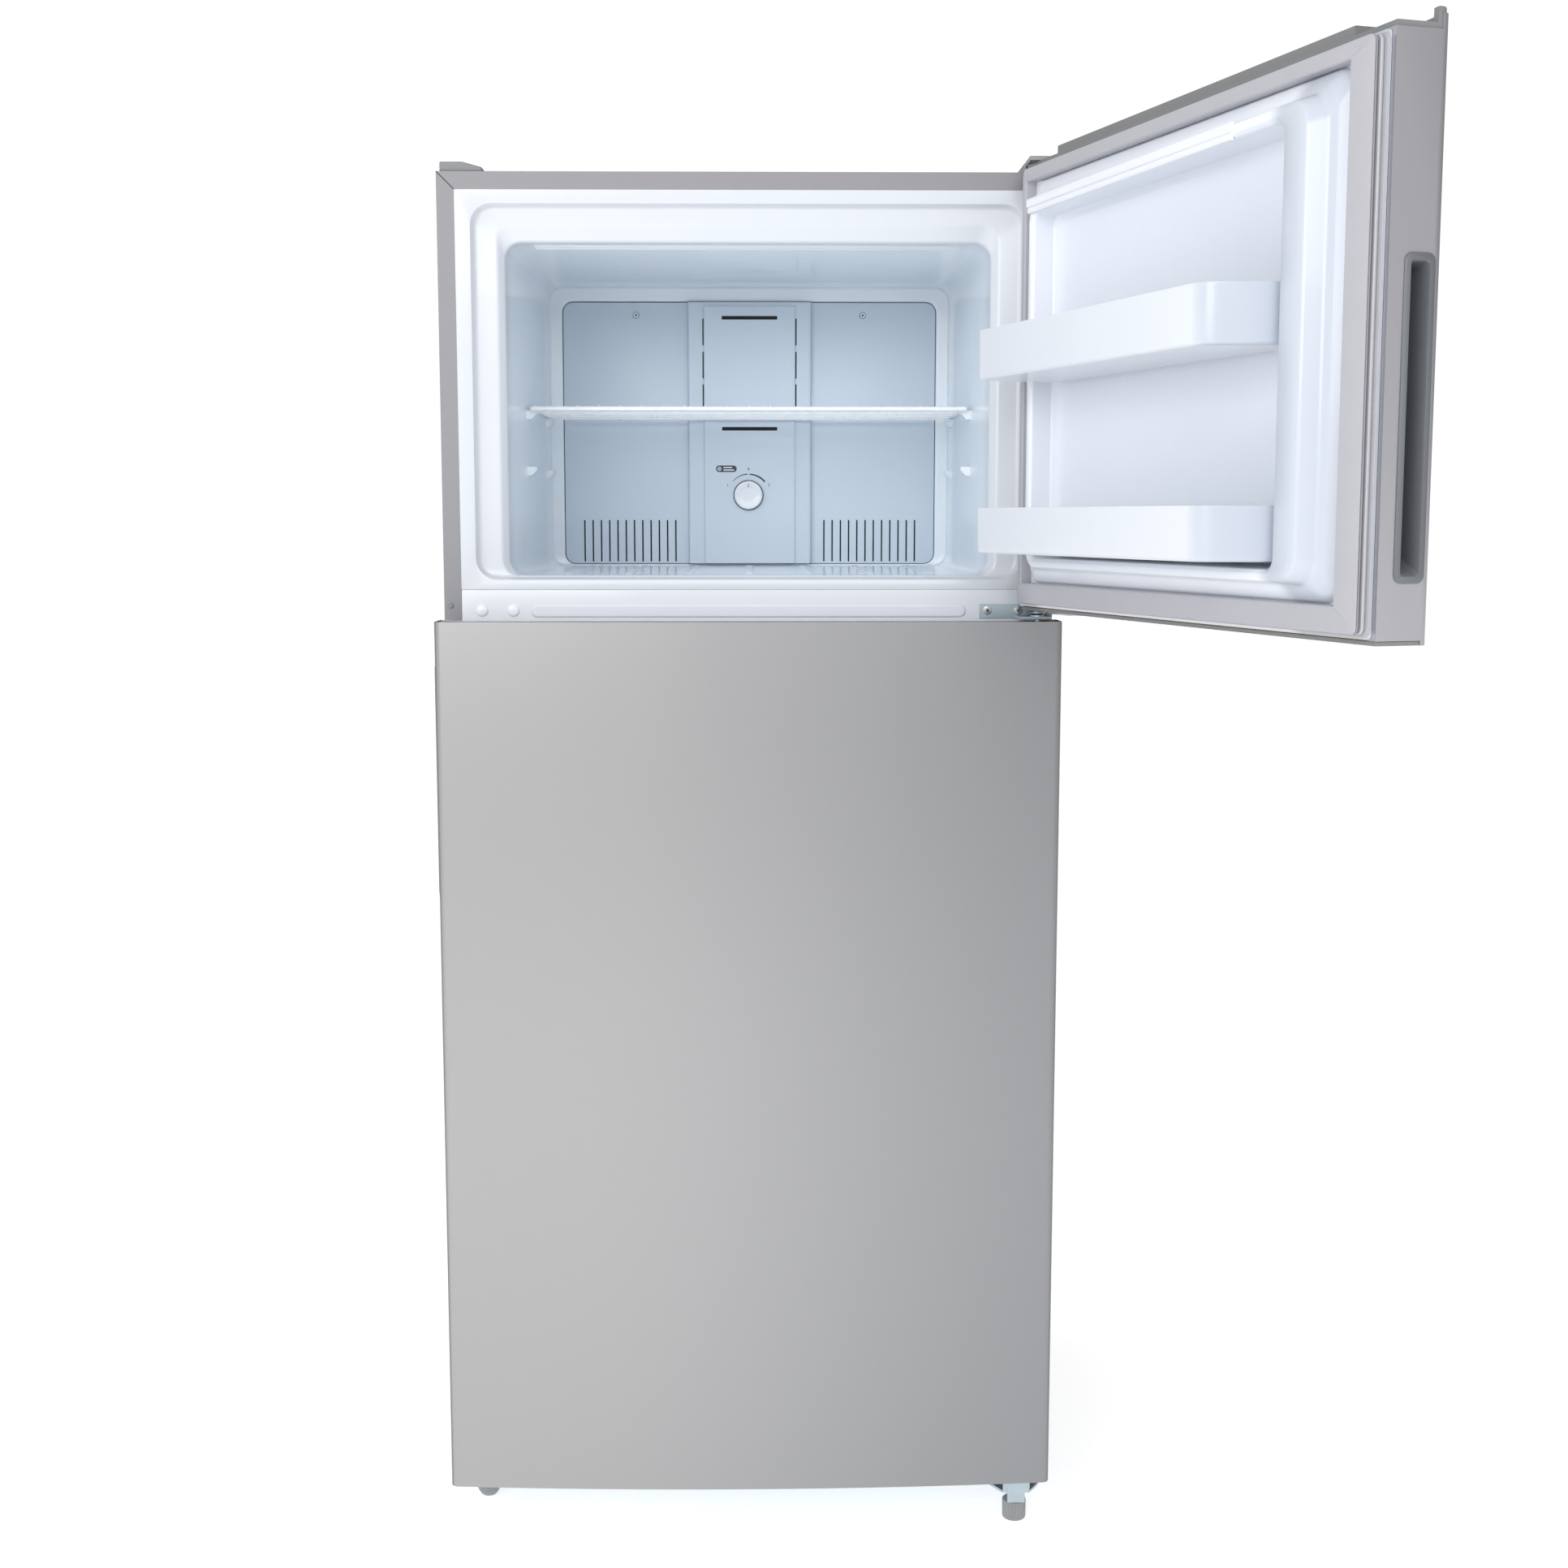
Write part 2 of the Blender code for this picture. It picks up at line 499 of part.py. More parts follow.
def machine_pieces(parent):
    floor = CASE_BOTTOM + SHEET + GAP
    x, y = 0.1400, 0.5100
    shell = []
    for grow, z in ((0.000, 0.062), (0.014, 0.070), (0.020, 0.085), (0.020, 0.135),
                    (0.024, 0.136), (0.024, 0.141), (0.018, 0.142), (0.017, 0.185),
                    (0.006, 0.210), (-0.020, 0.222)):
        shell.append([(x + (0.075 + grow) * math.cos(a), y + (0.055 + grow) * math.sin(a), z)
                      for a in (2 * math.pi * i / 28 for i in range(28))])
    compressor = node("compressor", loft(shell), "black_paint", parent, True)
    join(compressor, boxes(((x - 0.115, y - 0.060, 0.058), (x + 0.115, y + 0.060, 0.064))))
    for sx in (-1, 1):
        for sy in (-1, 1):
            join(compressor, turned([(0.010, floor), (0.010, 0.060)],
                                    (x + sx * 0.100, y + sy * 0.045, 0), "Z", 12))

    pan = node("drain_pan", boxes(((-0.260, 0.420, floor), (-0.040, 0.600, floor + 0.055))),
               "black_plastic", parent)
    cut(pan, boxes(((-0.258, 0.422, floor + 0.002), (-0.042, 0.598, floor + 0.1))))

    runs, x_end, tube_y = 14, 0.285, 0.640
    z0, pitch = 0.360, 0.080
    curve = bpy.data.curves.new("condenser_coil", "CURVE")
    curve.dimensions = "3D"
    curve.bevel_depth = 0.0030
    curve.bevel_resolution = 1
    curve.use_fill_caps = True
    points = []
    for i in range(runs):
        z, sign = z0 + pitch * i, 1 if i % 2 == 0 else -1
        points += [(-sign * x_end, z)] if i == 0 else []
        points += [(sign * x_end, z)]
        if i < runs - 1:
            points += [(sign * (x_end + pitch / 2 * math.sin(math.radians(a))),
                        z + pitch / 2 * (1 - math.cos(math.radians(a)))) for a in
                       (30, 60, 90, 120, 150)] + [(sign * x_end, z + pitch)]
    spline = curve.splines.new("POLY")
    spline.points.add(len(points) - 1)
    for point, (px, pz) in zip(spline.points, points):
        point.co = (px, tube_y, pz, 1)
    tube = bpy.data.objects.new("condenser_coil_path", curve)
    bpy.context.scene.collection.objects.link(tube)
    bm = bmesh.new()
    bm.from_mesh(tube.to_mesh())
    bmesh.ops.remove_doubles(bm, verts=bm.verts, dist=0.00002)
    bpy.data.objects.remove(tube)
    coil = node("condenser_coil", bm, "black_paint", parent, True)
    for rail_x in (-0.240, 0.240):
        join(coil, boxes(((rail_x - 0.006, CASE_DEPTH + GAP, 0.340),
                          (rail_x + 0.006, CONDENSER_BACK, 1.430))))


def fridge_inside(parent):
    top = 1.0730 - 0.0005
    housing = node("control_housing", boxes(((-0.1100, 0.1200, top - 0.040),
                                             (0.1100, 0.2600, top))), "white_plastic", parent)
    cut(housing, boxes(((-0.1070, 0.1230, top - 0.05), (0.0300, 0.2570, top - 0.003))))
    cut(housing, turned([(0.0035, -0.01), (0.0035, 0.02)], (0.0700, 0.1200, top - 0.020), "Y", 12))
    node("light_bulb", turned([(0.006, 0.000), (0.012, 0.012), (0.014, 0.024), (0.012, 0.034),
                               (0.007, 0.038), (0.007, 0.060)],
                              (-0.0800, 0.1900, top - 0.022), "X", 16),
         "clear_glass", parent, True)
    pivot = empty("fridge_dial_axis", (0.0700, 0.1200, top - 0.020), parent=parent)
    dial = node("fridge_control_dial", turned([(0.0030, 0.012), (0.0030, -GAP), (0.0150, -GAP),
                                               (0.0140, -0.010)], (0, 0, 0), "Y"),
                "white_plastic", pivot, True)
    join(dial, boxes(((-0.0012, -0.0120, 0.000), (0.0012, -0.0080, 0.013))))

    node("light_switch_plunger", turned([(0.0030, 0.0110), (0.0040, 0.0125), (0.0040, 0.0400)],
                                        (PLUNGER[0], 0, PLUNGER[1]), "Y", 16),
         "white_plastic", parent, True)

    for name, ledge, back in (("glass_shelf_upper", SHELF_LEDGES[0], 0.530),
                              ("glass_shelf_lower", SHELF_LEDGES[1], 0.530),
                              ("crisper_cover", SHELF_LEDGES[2], 0.3500)):
        low = ledge + GAP
        shelf = node(name, boxes(((-0.2965, 0.1100, low), (0.2965, back, low + 0.0050))),
                     "clear_glass", parent)
        join(shelf, boxes(((-0.2960, 0.1000, low - 0.004), (0.2960, 0.1120, low + 0.0080))))

    for side, x0, x1 in (("left", -0.2915, -0.0020), ("right", 0.0020, 0.2915)):
        z0, z1 = 0.1080, SHELF_LEDGES[2] - 0.0075
        drawer = node(f"crisper_{side}", loft([
            [(x, y, z0) for x, y in rounded_rect(x0 + 0.010, x1 - 0.010, 0.125, 0.345, 0.012, 3)],
            [(x, y, z1) for x, y in rounded_rect(x0, x1, 0.120, 0.352, 0.012, 3)]]),
            "clear_plastic", parent)
        cut(drawer, loft([
            [(x, y, z0 + 0.003) for x, y in
             rounded_rect(x0 + 0.0130, x1 - 0.0130, 0.128, 0.342, 0.009, 3)],
            [(x, y, z1 + 0.010) for x, y in
             rounded_rect(x0 + 0.0028, x1 - 0.0028, 0.123, 0.349, 0.009, 3)]]))


# ---- doors --------------------------------------------------------------------------------
def front_path(inset):
    """The door's front in plan, from the hinge side round both edges to the free side."""
    radius = DOOR_EDGE_R - inset
    side = DOOR_HINGE_X - inset
    free = DOOR_FREE_X + inset
    front = DOOR_SIDE_Y + inset
    middle = (side + free) / 2
    flat = (side - free) / 2 - radius
    points = []
    for i in range(4):
        a = math.radians(90 * i / 4)
        points.append((side - radius + radius * math.cos(a), front + radius - radius * math.sin(a)))
    for i in range(21):
        t = 1 - 2 * i / 20
        points.append((middle + flat * t, front - DOOR_BOW * (1 - t * t)))
    for i in range(1, 5):
        a = math.radians(90 * i / 4)
        points.append((free + radius - radius * math.sin(a), front + radius - radius * math.cos(a)))
    return points


def door_outline(inset):
    """The whole door in plan."""
    back = DOOR_IN_Y - inset
    return [(DOOR_HINGE_X - inset, back)] + front_path(inset) + [(DOOR_FREE_X + inset, back)]


def skin_outline():
    """The folded sheet in plan: front, sides and a narrow return on the inner plane."""
    lip = 0.012
    outer, inner = door_outline(0), door_outline(SHEET)
    return ([(DOOR_HINGE_X - lip, DOOR_IN_Y)] + outer + [(DOOR_FREE_X + lip, DOOR_IN_Y)]
            + [(DOOR_FREE_X + lip, DOOR_IN_Y - SHEET)] + inner[::-1]
            + [(DOOR_HINGE_X - lip, DOOR_IN_Y - SHEET)])


def axis_hole(z0, z1, radius):
    return turned([(radius, z0), (radius, z1)], (0, 0, 0), "Z", 16)


def handle_z(z_range, at_top):
    low = z_range[1] - HANDLE_INSET - HANDLE_LENGTH if at_top else z_range[0] + HANDLE_INSET
    return low, low + HANDLE_LENGTH


def handle_hole(z_range, at_top, spare, depth):
    """The opening for the pocket handle in the door's free side."""
    z0, z1 = handle_z(z_range, at_top)
    return boxes(((DOOR_FREE_X - 0.01, -0.0325 - spare, z0 + 0.002 - spare),
                  (DOOR_FREE_X + depth, -0.0055 + spare, z1 - 0.002 + spare)))


def door_handle(name, z_range, at_top, parent):
    z0, z1 = handle_z(z_range, at_top)
    face = DOOR_FREE_X
    bezel = [(y, z) for y, z in rounded_rect(-0.0340, -0.0036, z0, z1, 0.007)]
    handle = node(name, prism(bezel, "X", face - 0.0018, face - GAP), "grey_plastic", parent)
    join(handle, boxes(((face - 0.001, -0.0322, z0 + 0.0023), (face + 0.030, -0.0058,
                                                               z1 - 0.0023))))
    cut(handle, loft([
        [(face - 0.01, y, z) for y, z in rounded_rect(-0.0300, -0.0078, z0 + 0.006, z1 - 0.006,
                                                      0.004, 2)],
        [(face + 0.001, y, z) for y, z in rounded_rect(-0.0300, -0.0078, z0 + 0.006, z1 - 0.006,
                                                       0.004, 2)],
        [(face + 0.0275, y, z) for y, z in rounded_rect(-0.0290, -0.0150, z0 + 0.016, z1 - 0.008,
                                                        0.003, 2)]]))


def door_shell(prefix, z_range, at_top, parent):
    """Skin, foam and handle, with pockets for the hinge pins."""
    z0, z1 = z_range
    skin = node(f"{prefix}_skin", prism(skin_outline(), "Z", z0, z1), "door_steel", parent, True)
    cut(skin, handle_hole(z_range, at_top, 0.0003, 0.005))
    foam = node(f"{prefix}_foam", prism(door_outline(SHEET + GAP), "Z", z0 + GAP, z1 - GAP
                                        if not at_top else z1 - 0.0058), "foam", parent)
    cut(foam, handle_hole(z_range, at_top, 0.0006, 0.0304))
    cut(foam, axis_hole(z0 - 0.01, z0 + 0.018, 0.008))
    cut(foam, axis_hole(z1 - 0.024, z1 + 0.01, 0.008))
    door_handle(f"{prefix}_handle", z_range, at_top, parent)
    return foam


def door_caps(prefix, z_range, recessed_top, parent):
    z0, z1 = z_range
    if recessed_top:
        top = node(f"{prefix}_top_cap", prism(door_outline(SHEET + GAP), "Z", z1 - 0.0055,
                                              z1 - 0.0015), "grey_plastic", parent)
    else:
        base = z1 + GAP
        top = node(f"{prefix}_top_cap", prism(door_outline(0), "Z", base, base + 0.0052),
                   "grey_plastic", parent)
        rim = front_path(0.0004) + front_path(0.0075)[::-1]
        join(top, prism(rim, "Z", base + 0.002, base + 0.0135))
        edge = front_path(0.0004)
        for corner, back in ((edge[-5:], [(edge[-1][0], -0.0295), (edge[-5][0], -0.0295)]),
                             (edge[:5], [(edge[4][0], -0.0295), (edge[0][0], -0.0295)])):
            join(top, prism(corner + back, "Z", base + 0.002, base + 0.0192))
        join(top, boxes(((-0.640, -0.0270, base + 0.003), (-0.0305, -0.0030, base + 0.0192))))
    cut(top, axis_hole(z1 - 0.02, z1 + 0.03, PIN_HOLE_R))
    bottom = node(f"{prefix}_bottom_cap", prism(door_outline(0), "Z", z0 - GAP - 0.0040,
                                                z0 - GAP), "grey_plastic", parent)
    cut(bottom, axis_hole(z0 - 0.02, z0 + 0.01, PIN_HOLE_R))


def door_gasket(prefix, z_range, parent):
    """A flat strip under a wide magnet pocket, which stays inside the hinge axis on that side."""
    z0, z1 = z_range
    base = DOOR_IN_Y + WALL + 2 * GAP
    strip = frame_between((DOOR_FREE_X + 0.004, DOOR_HINGE_X - 0.004, z0 + 0.004, z1 - 0.004),
                          (DOOR_FREE_X + 0.042, -0.0125, z0 + 0.0305, z1 - 0.021),
                          base, base + 0.003)
    gasket = node(f"{prefix}_gasket", strip, "seal_rubber", parent)
    join(gasket, frame_between((DOOR_FREE_X + 0.005, -0.0030, z0 + 0.005, z1 - 0.005),
                               (DOOR_FREE_X + 0.041, -0.0128, z0 + 0.0295, z1 - 0.0205),
                               base + 0.001, SEAL_Y))


def door_liner(prefix, z_range, levels, parent):
    """A flange, a dyke that is lower on the hinge side, and a recess for the bins.

    levels holds (bottom, top) of the flange's inner edge, the step, the ridge and the recess.
    """
    edge, step, ridge, recess = levels
    flange = DOOR_IN_Y + WALL + GAP
    z0, z1 = z_range
    # x at the free side, x at the hinge side, z range, corner radius, y free, y hinge, thickening
    front = [
        (-0.719, 0.0190, (z0 + 0.006, z1 - 0.006), 0.004, flange, flange, 0),
        (-0.670, -0.0150, edge, 0.020, flange, flange, -WALL),
        (-0.664, -0.0180, (edge[0] + 0.004, edge[1] - 0.004), 0.022, 0.0240, 0.0200, -WALL),
        (-0.659, -0.0200, step, 0.024, 0.0270, 0.0220, -WALL),
        (-0.650, -0.0230, ((step[0] + ridge[0]) / 2, (step[1] + ridge[1]) / 2), 0.026,
         0.0440, 0.0280, -WALL),
        (-0.642, -0.0255, ridge, 0.026, 0.0480, 0.0300, -WALL),
        (-0.608, -0.0365, recess, 0.004, 0.0480, 0.0300, WALL),
        (-0.604, -0.0380, (recess[0] + 0.003, recess[1] - 0.003), 0.004, 0.0440, 0.0270, WALL),
        (-0.602, -0.0390, (recess[0] + 0.004, recess[1] - 0.004), 0.004, 0.0000, 0.0000, WALL),
    ]

    def rings(sign):
        made = []
        for x0, x1, (low, high), radius, y_free, y_hinge, grow in front:
            g = grow * sign
            made.append(ring(x0 - g, x1 + g, low - g, high + g, radius + g,
                             y_free - WALL * sign, y_hinge - WALL * sign))
        return made

    return node(f"{prefix}_liner", loft(rings(0)[::-1] + rings(1)), "white_plastic", parent, True)


BIN_NEAR, BIN_FAR, BIN_FRONT = -0.0600, -0.6005, 0.1100


def bin_outline(inset):
    """A door bin in plan, with a rounded front corner on each side and flared ends."""
    near, far, front = BIN_NEAR - inset, BIN_FAR + inset, BIN_FRONT - inset
    back = 0.0035 + inset
    points = [(near, back), (near, front - 0.012)]
    for i in range(1, 5):
        a = math.radians(90 * i / 4)
        points.append((near - 0.012 + 0.012 * math.cos(a), front - 0.012 + 0.012 * math.sin(a)))
    corner, radius = far + 0.012, 0.020
    for i in range(5):
        a = math.radians(90 + 80 * i / 4)
        points.append((corner + radius + radius * math.cos(a),
                       front - radius + radius * math.sin(a)))
    return points + [(far, 0.052), (far, back)]


def door_bin(name, z0, z1, parent):
    tray = node(name, prism(bin_outline(0), "Z", z0, z1), "white_plastic", parent, True)
    cut(tray, prism(bin_outline(WALL), "Z", z0 + WALL, z1 + 0.01))


def freezer_door(axis):
    levels = ((1.1990, 1.6650), (1.2120, 1.6490), (1.2190, 1.6400), (1.2270, 1.6290))
    foam = door_shell("freezer_door", FREEZER_Z, False, axis)
    cut(foam, boxes(((-0.6065, -0.0028, levels[3][0] - 0.001),
                     (-0.0345, 0.1, levels[3][1] + 0.001))))
    door_caps("freezer_door", FREEZER_Z, False, axis)
    door_gasket("freezer_door", FREEZER_Z, axis)
    door_liner("freezer_door", FREEZER_Z, levels, axis)
    cam_bottom = FREEZER_Z[0] - 0.0080
    node("freezer_door_cam", boxes(((-0.0760, -0.0300, cam_bottom), (-0.0130, -0.0080,
                                                                    cam_bottom + 0.0034))),
         "white_plastic", axis)

    def ridge_y(x):
        return 0.0308 - 0.0180 * (x + 0.0365) / 0.5715

    bar = []
    for x, depth in ((-0.030, 0.0050), (-0.515, 0.0020)):
        y = ridge_y(x)
        bar.append([(x, y, 1.6265), (x, y + depth, 1.6275), (x, y + depth, 1.6425),
                    (x, y, 1.6435)])
    node("freezer_door_trim", loft(bar), "white_plastic", axis)
    door_bin("freezer_bin_upper", 1.4315, 1.4880, axis)
    door_bin("freezer_bin_lower", 1.2345, 1.2865, axis)


def fridge_door(axis):
    levels = ((0.1055, 1.1300), (0.1180, 1.1000), (0.1260, 1.0860), (0.1360, 1.0740))
    foam = door_shell("fridge_door", FRIDGE_Z, True, axis)
    cut(foam, boxes(((-0.6065, -0.0028, levels[3][0] - 0.001),
                     (-0.0345, 0.1, levels[3][1] + 0.001))))
    door_caps("fridge_door", FRIDGE_Z, True, axis)
    door_gasket("fridge_door", FRIDGE_Z, axis)
    door_liner("fridge_door", FRIDGE_Z, levels, axis)
    for name, z, height in (("lower", 0.1440, 0.120), ("middle", 0.4700, 0.090),
                            ("upper", 0.7800, 0.070)):
        door_bin(f"fridge_bin_{name}", z, z + height, axis)


# ---- assembly -----------------------------------------------------------------------------
def centre_on_floor(root):
    """Moves the model so that the bottom centre of its bounding box is the origin."""
    graph = bpy.context.evaluated_depsgraph_get()
    points = []
    for obj in bpy.context.scene.objects:
        if obj.type == "MESH" and not obj.hide_render:
            shown = obj.evaluated_get(graph)
            points += [shown.matrix_world @ v.co for v in shown.data.vertices]
    low = Vector([min(p[i] for p in points) for i in range(3)])
    high = Vector([max(p[i] for p in points) for i in range(3)])
    root.location = (-(low.x + high.x) / 2, -(low.y + high.y) / 2, -low.z)
    print("design frame moved by", tuple(round(v, 6) for v in root.location))


def build():
    clear_scene()
    root = empty("refrigerator", (0, 0, 0))
    case_pieces(root)
    liner_pieces(root)
    evaporator_pieces(root)
    knob_and_shelf(root)
    hinge_pieces(root)
    base_pieces(root)
    machine_pieces(root)
    fridge_inside(root)
    freezer_door(empty("freezer_door_axis", (HINGE_X, HINGE_Y, 0), FREEZER_ANGLE, root))
    fridge_door(empty("fridge_door_axis", (HINGE_X, HINGE_Y, 0), 0.0, root))
    centre_on_floor(root)


build()
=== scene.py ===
"""The looks of the top freezer refrigerator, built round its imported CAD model.

Metres, +Z up. Pieces of the cabinet are drawn in the cabinet's own frame, where x = 0 is its
middle, y = 0 its front plane and -y is towards the user. Pieces of a door are drawn closed, from
its hinge axis, and then placed as the frame has it. z is the height above the floor throughout.
"""

import json
from math import cos, pi, radians, sin

import bmesh
import bpy
import numpy as np
from mathutils import Matrix, Vector


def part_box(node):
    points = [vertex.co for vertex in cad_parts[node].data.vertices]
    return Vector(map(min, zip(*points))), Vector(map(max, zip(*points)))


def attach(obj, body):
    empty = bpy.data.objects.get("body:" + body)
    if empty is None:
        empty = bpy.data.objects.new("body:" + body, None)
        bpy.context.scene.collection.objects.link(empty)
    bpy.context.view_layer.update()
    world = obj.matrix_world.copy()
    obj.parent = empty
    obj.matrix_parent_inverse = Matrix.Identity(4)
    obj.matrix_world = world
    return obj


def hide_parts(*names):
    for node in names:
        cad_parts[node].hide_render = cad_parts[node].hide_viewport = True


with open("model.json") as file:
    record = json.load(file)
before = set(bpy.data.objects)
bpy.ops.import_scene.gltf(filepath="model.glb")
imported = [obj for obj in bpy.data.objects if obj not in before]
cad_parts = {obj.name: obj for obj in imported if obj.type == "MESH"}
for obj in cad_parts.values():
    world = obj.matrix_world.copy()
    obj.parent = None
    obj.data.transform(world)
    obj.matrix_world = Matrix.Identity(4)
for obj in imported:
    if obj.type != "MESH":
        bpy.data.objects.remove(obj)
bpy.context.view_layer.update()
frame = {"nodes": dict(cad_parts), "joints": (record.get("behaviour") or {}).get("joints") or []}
joints = {joint["name"]: joint for joint in frame["joints"]}

# ---- driving dimensions, from the frame ----
wrap_low, wrap_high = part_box("cabinet_wrap")
CABINET = Matrix.Translation(((wrap_low.x + wrap_high.x) / 2, wrap_low.y, 0))


def span(node, place=CABINET):
    """The lowest and highest corner of a CAD node, in the cabinet's or a door's own frame."""
    return [place.inverted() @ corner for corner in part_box(node)]


def axis_of(joint):
    """Where a joint's axis passes, in the cabinet's own frame."""
    return CABINET.inverted() @ Vector(joints[joint]["pos_m"])


def door_place(joint):
    """From a door's own frame, closed and about its axis, to where it stands."""
    stands_at = radians(-joints[joint]["range_deg"][0])
    return Matrix.Translation(joints[joint]["pos_m"]) @ Matrix.Rotation(stands_at, 4, "Z")


FREEZER_DOOR = door_place("freezer_door_hinge")
FRIDGE_DOOR = door_place("fridge_door_hinge")
CASE_HALF = (wrap_high.x - wrap_low.x) / 2
CASE_TOP = wrap_high.z
FRAME = 0.021  # width of the steel border
RAIL_BOTTOM, RAIL_TOP = (corner.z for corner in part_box("mullion_rail"))
DOOR_HALF = (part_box("fridge_door_skin")[1].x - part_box("fridge_door_skin")[0].x) / 2
HINGE = axis_of("fridge_door_hinge")
DOOR_IN_Y = 0.012  # a door's inner plane, from the hinge axis
DOOR_SIDE_Y = -0.0425  # its front plane at the side edges
DOOR_BOW = 0.0125  # how much further the middle stands forward
DOOR_EDGE_R = 0.009
DOOR_HINGE_X = DOOR_HALF - HINGE.x
DOOR_FREE_X = -DOOR_HALF - HINGE.x
SHEET = 0.0012
WALL = 0.0025
GAP = 0.0003
CORNER_STEPS = 8
WELD = 1e-6  # points closer than this become one


# ---- mesh helpers ----
def arc(first, last, steps):
    """The cosine and sine of evenly spaced angles, in degrees, with both ends."""
    angles = [radians(first + (last - first) * i / steps) for i in range(steps + 1)]
    return [(cos(a), sin(a)) for a in angles]


def circle(sides):
    return arc(0, 360, sides)[:-1]


def boxes(*corner_pairs):
    """One mesh of boxes, each given by its lowest and highest corner."""
    bm = bmesh.new()
    for low, high in corner_pairs:
        low, high = Vector(low), Vector(high)
        place = Matrix.Translation((low + high) / 2) @ Matrix.Diagonal((*(high - low), 1))
        bmesh.ops.create_cube(bm, size=1, matrix=place)
    return bm


def loft(rings, closed_loop=False):
    """A skin through rings of equal length, capped at its ends or joined end to start."""
    bm = bmesh.new()
    rows = [[bm.verts.new(p) for p in points] for points in rings]
    count = len(rows[0])
    for near, far in zip(rows, rows[1:] + (rows[:1] if closed_loop else [])):
        for i in range(count):
            j = (i + 1) % count
            bm.faces.new((near[i], near[j], far[j], far[i]))
    if not closed_loop:
        bm.faces.new(rows[0])
        bm.faces.new(rows[-1][::-1])
    bmesh.ops.recalc_face_normals(bm, faces=bm.faces)
    return bm


def prism(outline, axis, start, end, rim=0.0):
    """A flat outline swept along one axis. rim rounds the edges of both ends by insetting them."""
    across = "XYZ".index(axis)

    def at(points, along):
        return [(*p[:across], along, *p[across:]) for p in points]

    if not rim:
        return loft([at(outline, start), at(outline, end)])
    rise = rim if end > start else -rim
    quarter = arc(0, 90, 4)
    near = [at(inset(outline, rim * (1 - s)), start + rise * (1 - c)) for c, s in quarter]
    far = [at(inset(outline, rim * (1 - s)), end - rise * (1 - c)) for c, s in quarter]
    return loft(near + far[::-1])


def inset(outline, distance):
    """The outline moved inwards by distance, corner by corner."""
    if distance == 0:
        return list(outline)
    points = [Vector(p) for p in outline]
    before, after = points[-1:] + points[:-1], points[1:] + points[:1]
    side = 1 if sum(here.cross(there) for here, there in zip(points, after)) > 0 else -1
    least_share = 0.35  # keeps sharp corners from running away
    made = []
    for last, here, there in zip(before, points, after):
        one, two = (here - last).normalized(), (there - here).normalized()
        normal = Vector((-one.y, one.x)) * side
        middle = (normal + Vector((-two.y, two.x)) * side).normalized()
        made.append(tuple(here + middle * distance / max(least_share, middle.dot(normal))))
    return made


def rounded_rect(x0, x1, z0, z1, radius, steps=CORNER_STEPS):
    """Points of a rounded rectangle, counter-clockwise from its right lower corner."""
    corners = [(x1 - radius, z0 + radius, -90), (x1 - radius, z1 - radius, 0),
               (x0 + radius, z1 - radius, 90), (x0 + radius, z0 + radius, 180)]
    return [(cx + radius * c, cz + radius * s)
            for cx, cz, first in corners for c, s in arc(first, first + 90, steps)]


def slab(x0, x1, z0, z1, radius, y0, y1, steps=CORNER_STEPS, rim=0.0):
    """A rounded rectangle that faces the user, from y0 to y1."""
    return prism(rounded_rect(x0, x1, z0, z1, radius, steps), "Y", y0, y1, rim)


def ring(x0, x1, z0, z1, radius, y, y_right=None):
    """A rounded rectangle at depth y, or sloping from y at x0 to y_right at x1."""
    far = y if y_right is None else y_right
    return [(x, y + (far - y) * (x - x0) / (x1 - x0), z)
            for x, z in rounded_rect(x0, x1, z0, z1, radius)]


def softened(rows, reach, steps=4):
    """Rows of numbers with every bend but the ends rounded off over the given reach."""
    rows = [np.array(row, float) for row in rows]
    most = 0.45  # of the way to the next row
    made = [rows[0]]
    for before, here, after in zip(rows, rows[1:], rows[2:]):
        to_before, to_after = before - here, after - here
        a = here + to_before * min(most, reach / max(1e-9, np.linalg.norm(to_before)))
        b = here + to_after * min(most, reach / max(1e-9, np.linalg.norm(to_after)))
        for i in range(steps + 1):
            t = i / steps
            made.append((1 - t) ** 2 * a + 2 * t * (1 - t) * here + t * t * b)
    return made + [rows[-1]]


def turned(profile, centre, axis, sides=48):
    """A body turned about Y or Z through centre. The profile holds (radius, distance along)."""
    place = Matrix.Translation(centre)
    if axis == "Y":
        place = place @ Matrix.Rotation(-pi / 2, 4, "X")
    return loft([[place @ Vector((r * c, r * s, h)) for c, s in circle(sides)]
                 for r, h in profile])


def tube(points, radius, sides=12):
    """A round bar along a line of points, with closed ends."""
    points = [Vector(p) for p in points]
    rings = []
    normal = None
    for i, point in enumerate(points):
        along = (points[min(len(points) - 1, i + 1)] - points[max(0, i - 1)]).normalized()
        if normal is None:
            normal = along.orthogonal().normalized()
        normal = (normal - along * normal.dot(along)).normalized()
        other = along.cross(normal)
        rings.append([point + radius * (c * normal + s * other) for c, s in circle(sides)])
    return loft(rings)


def mesh_of(bm, name):
    """A bmesh, which is used up, as mesh data."""
    mesh = bpy.data.meshes.new(name)
    bm.to_mesh(mesh)
    bm.free()
    return mesh


def placed(name, data):
    """A new object in the scene."""
    obj = bpy.data.objects.new(name, data)
    bpy.context.scene.collection.objects.link(obj)
    return obj


def as_shown(obj):
    """What an object shows with its modifiers, as a bmesh. The object is removed."""
    bpy.context.view_layer.update()
    graph = bpy.context.evaluated_depsgraph_get()
    mesh = bpy.data.meshes.new_from_object(obj.evaluated_get(graph))
    bm = bmesh.new()
    bm.from_mesh(mesh)
    bpy.data.objects.remove(obj)
    bpy.data.meshes.remove(mesh)
    return bm


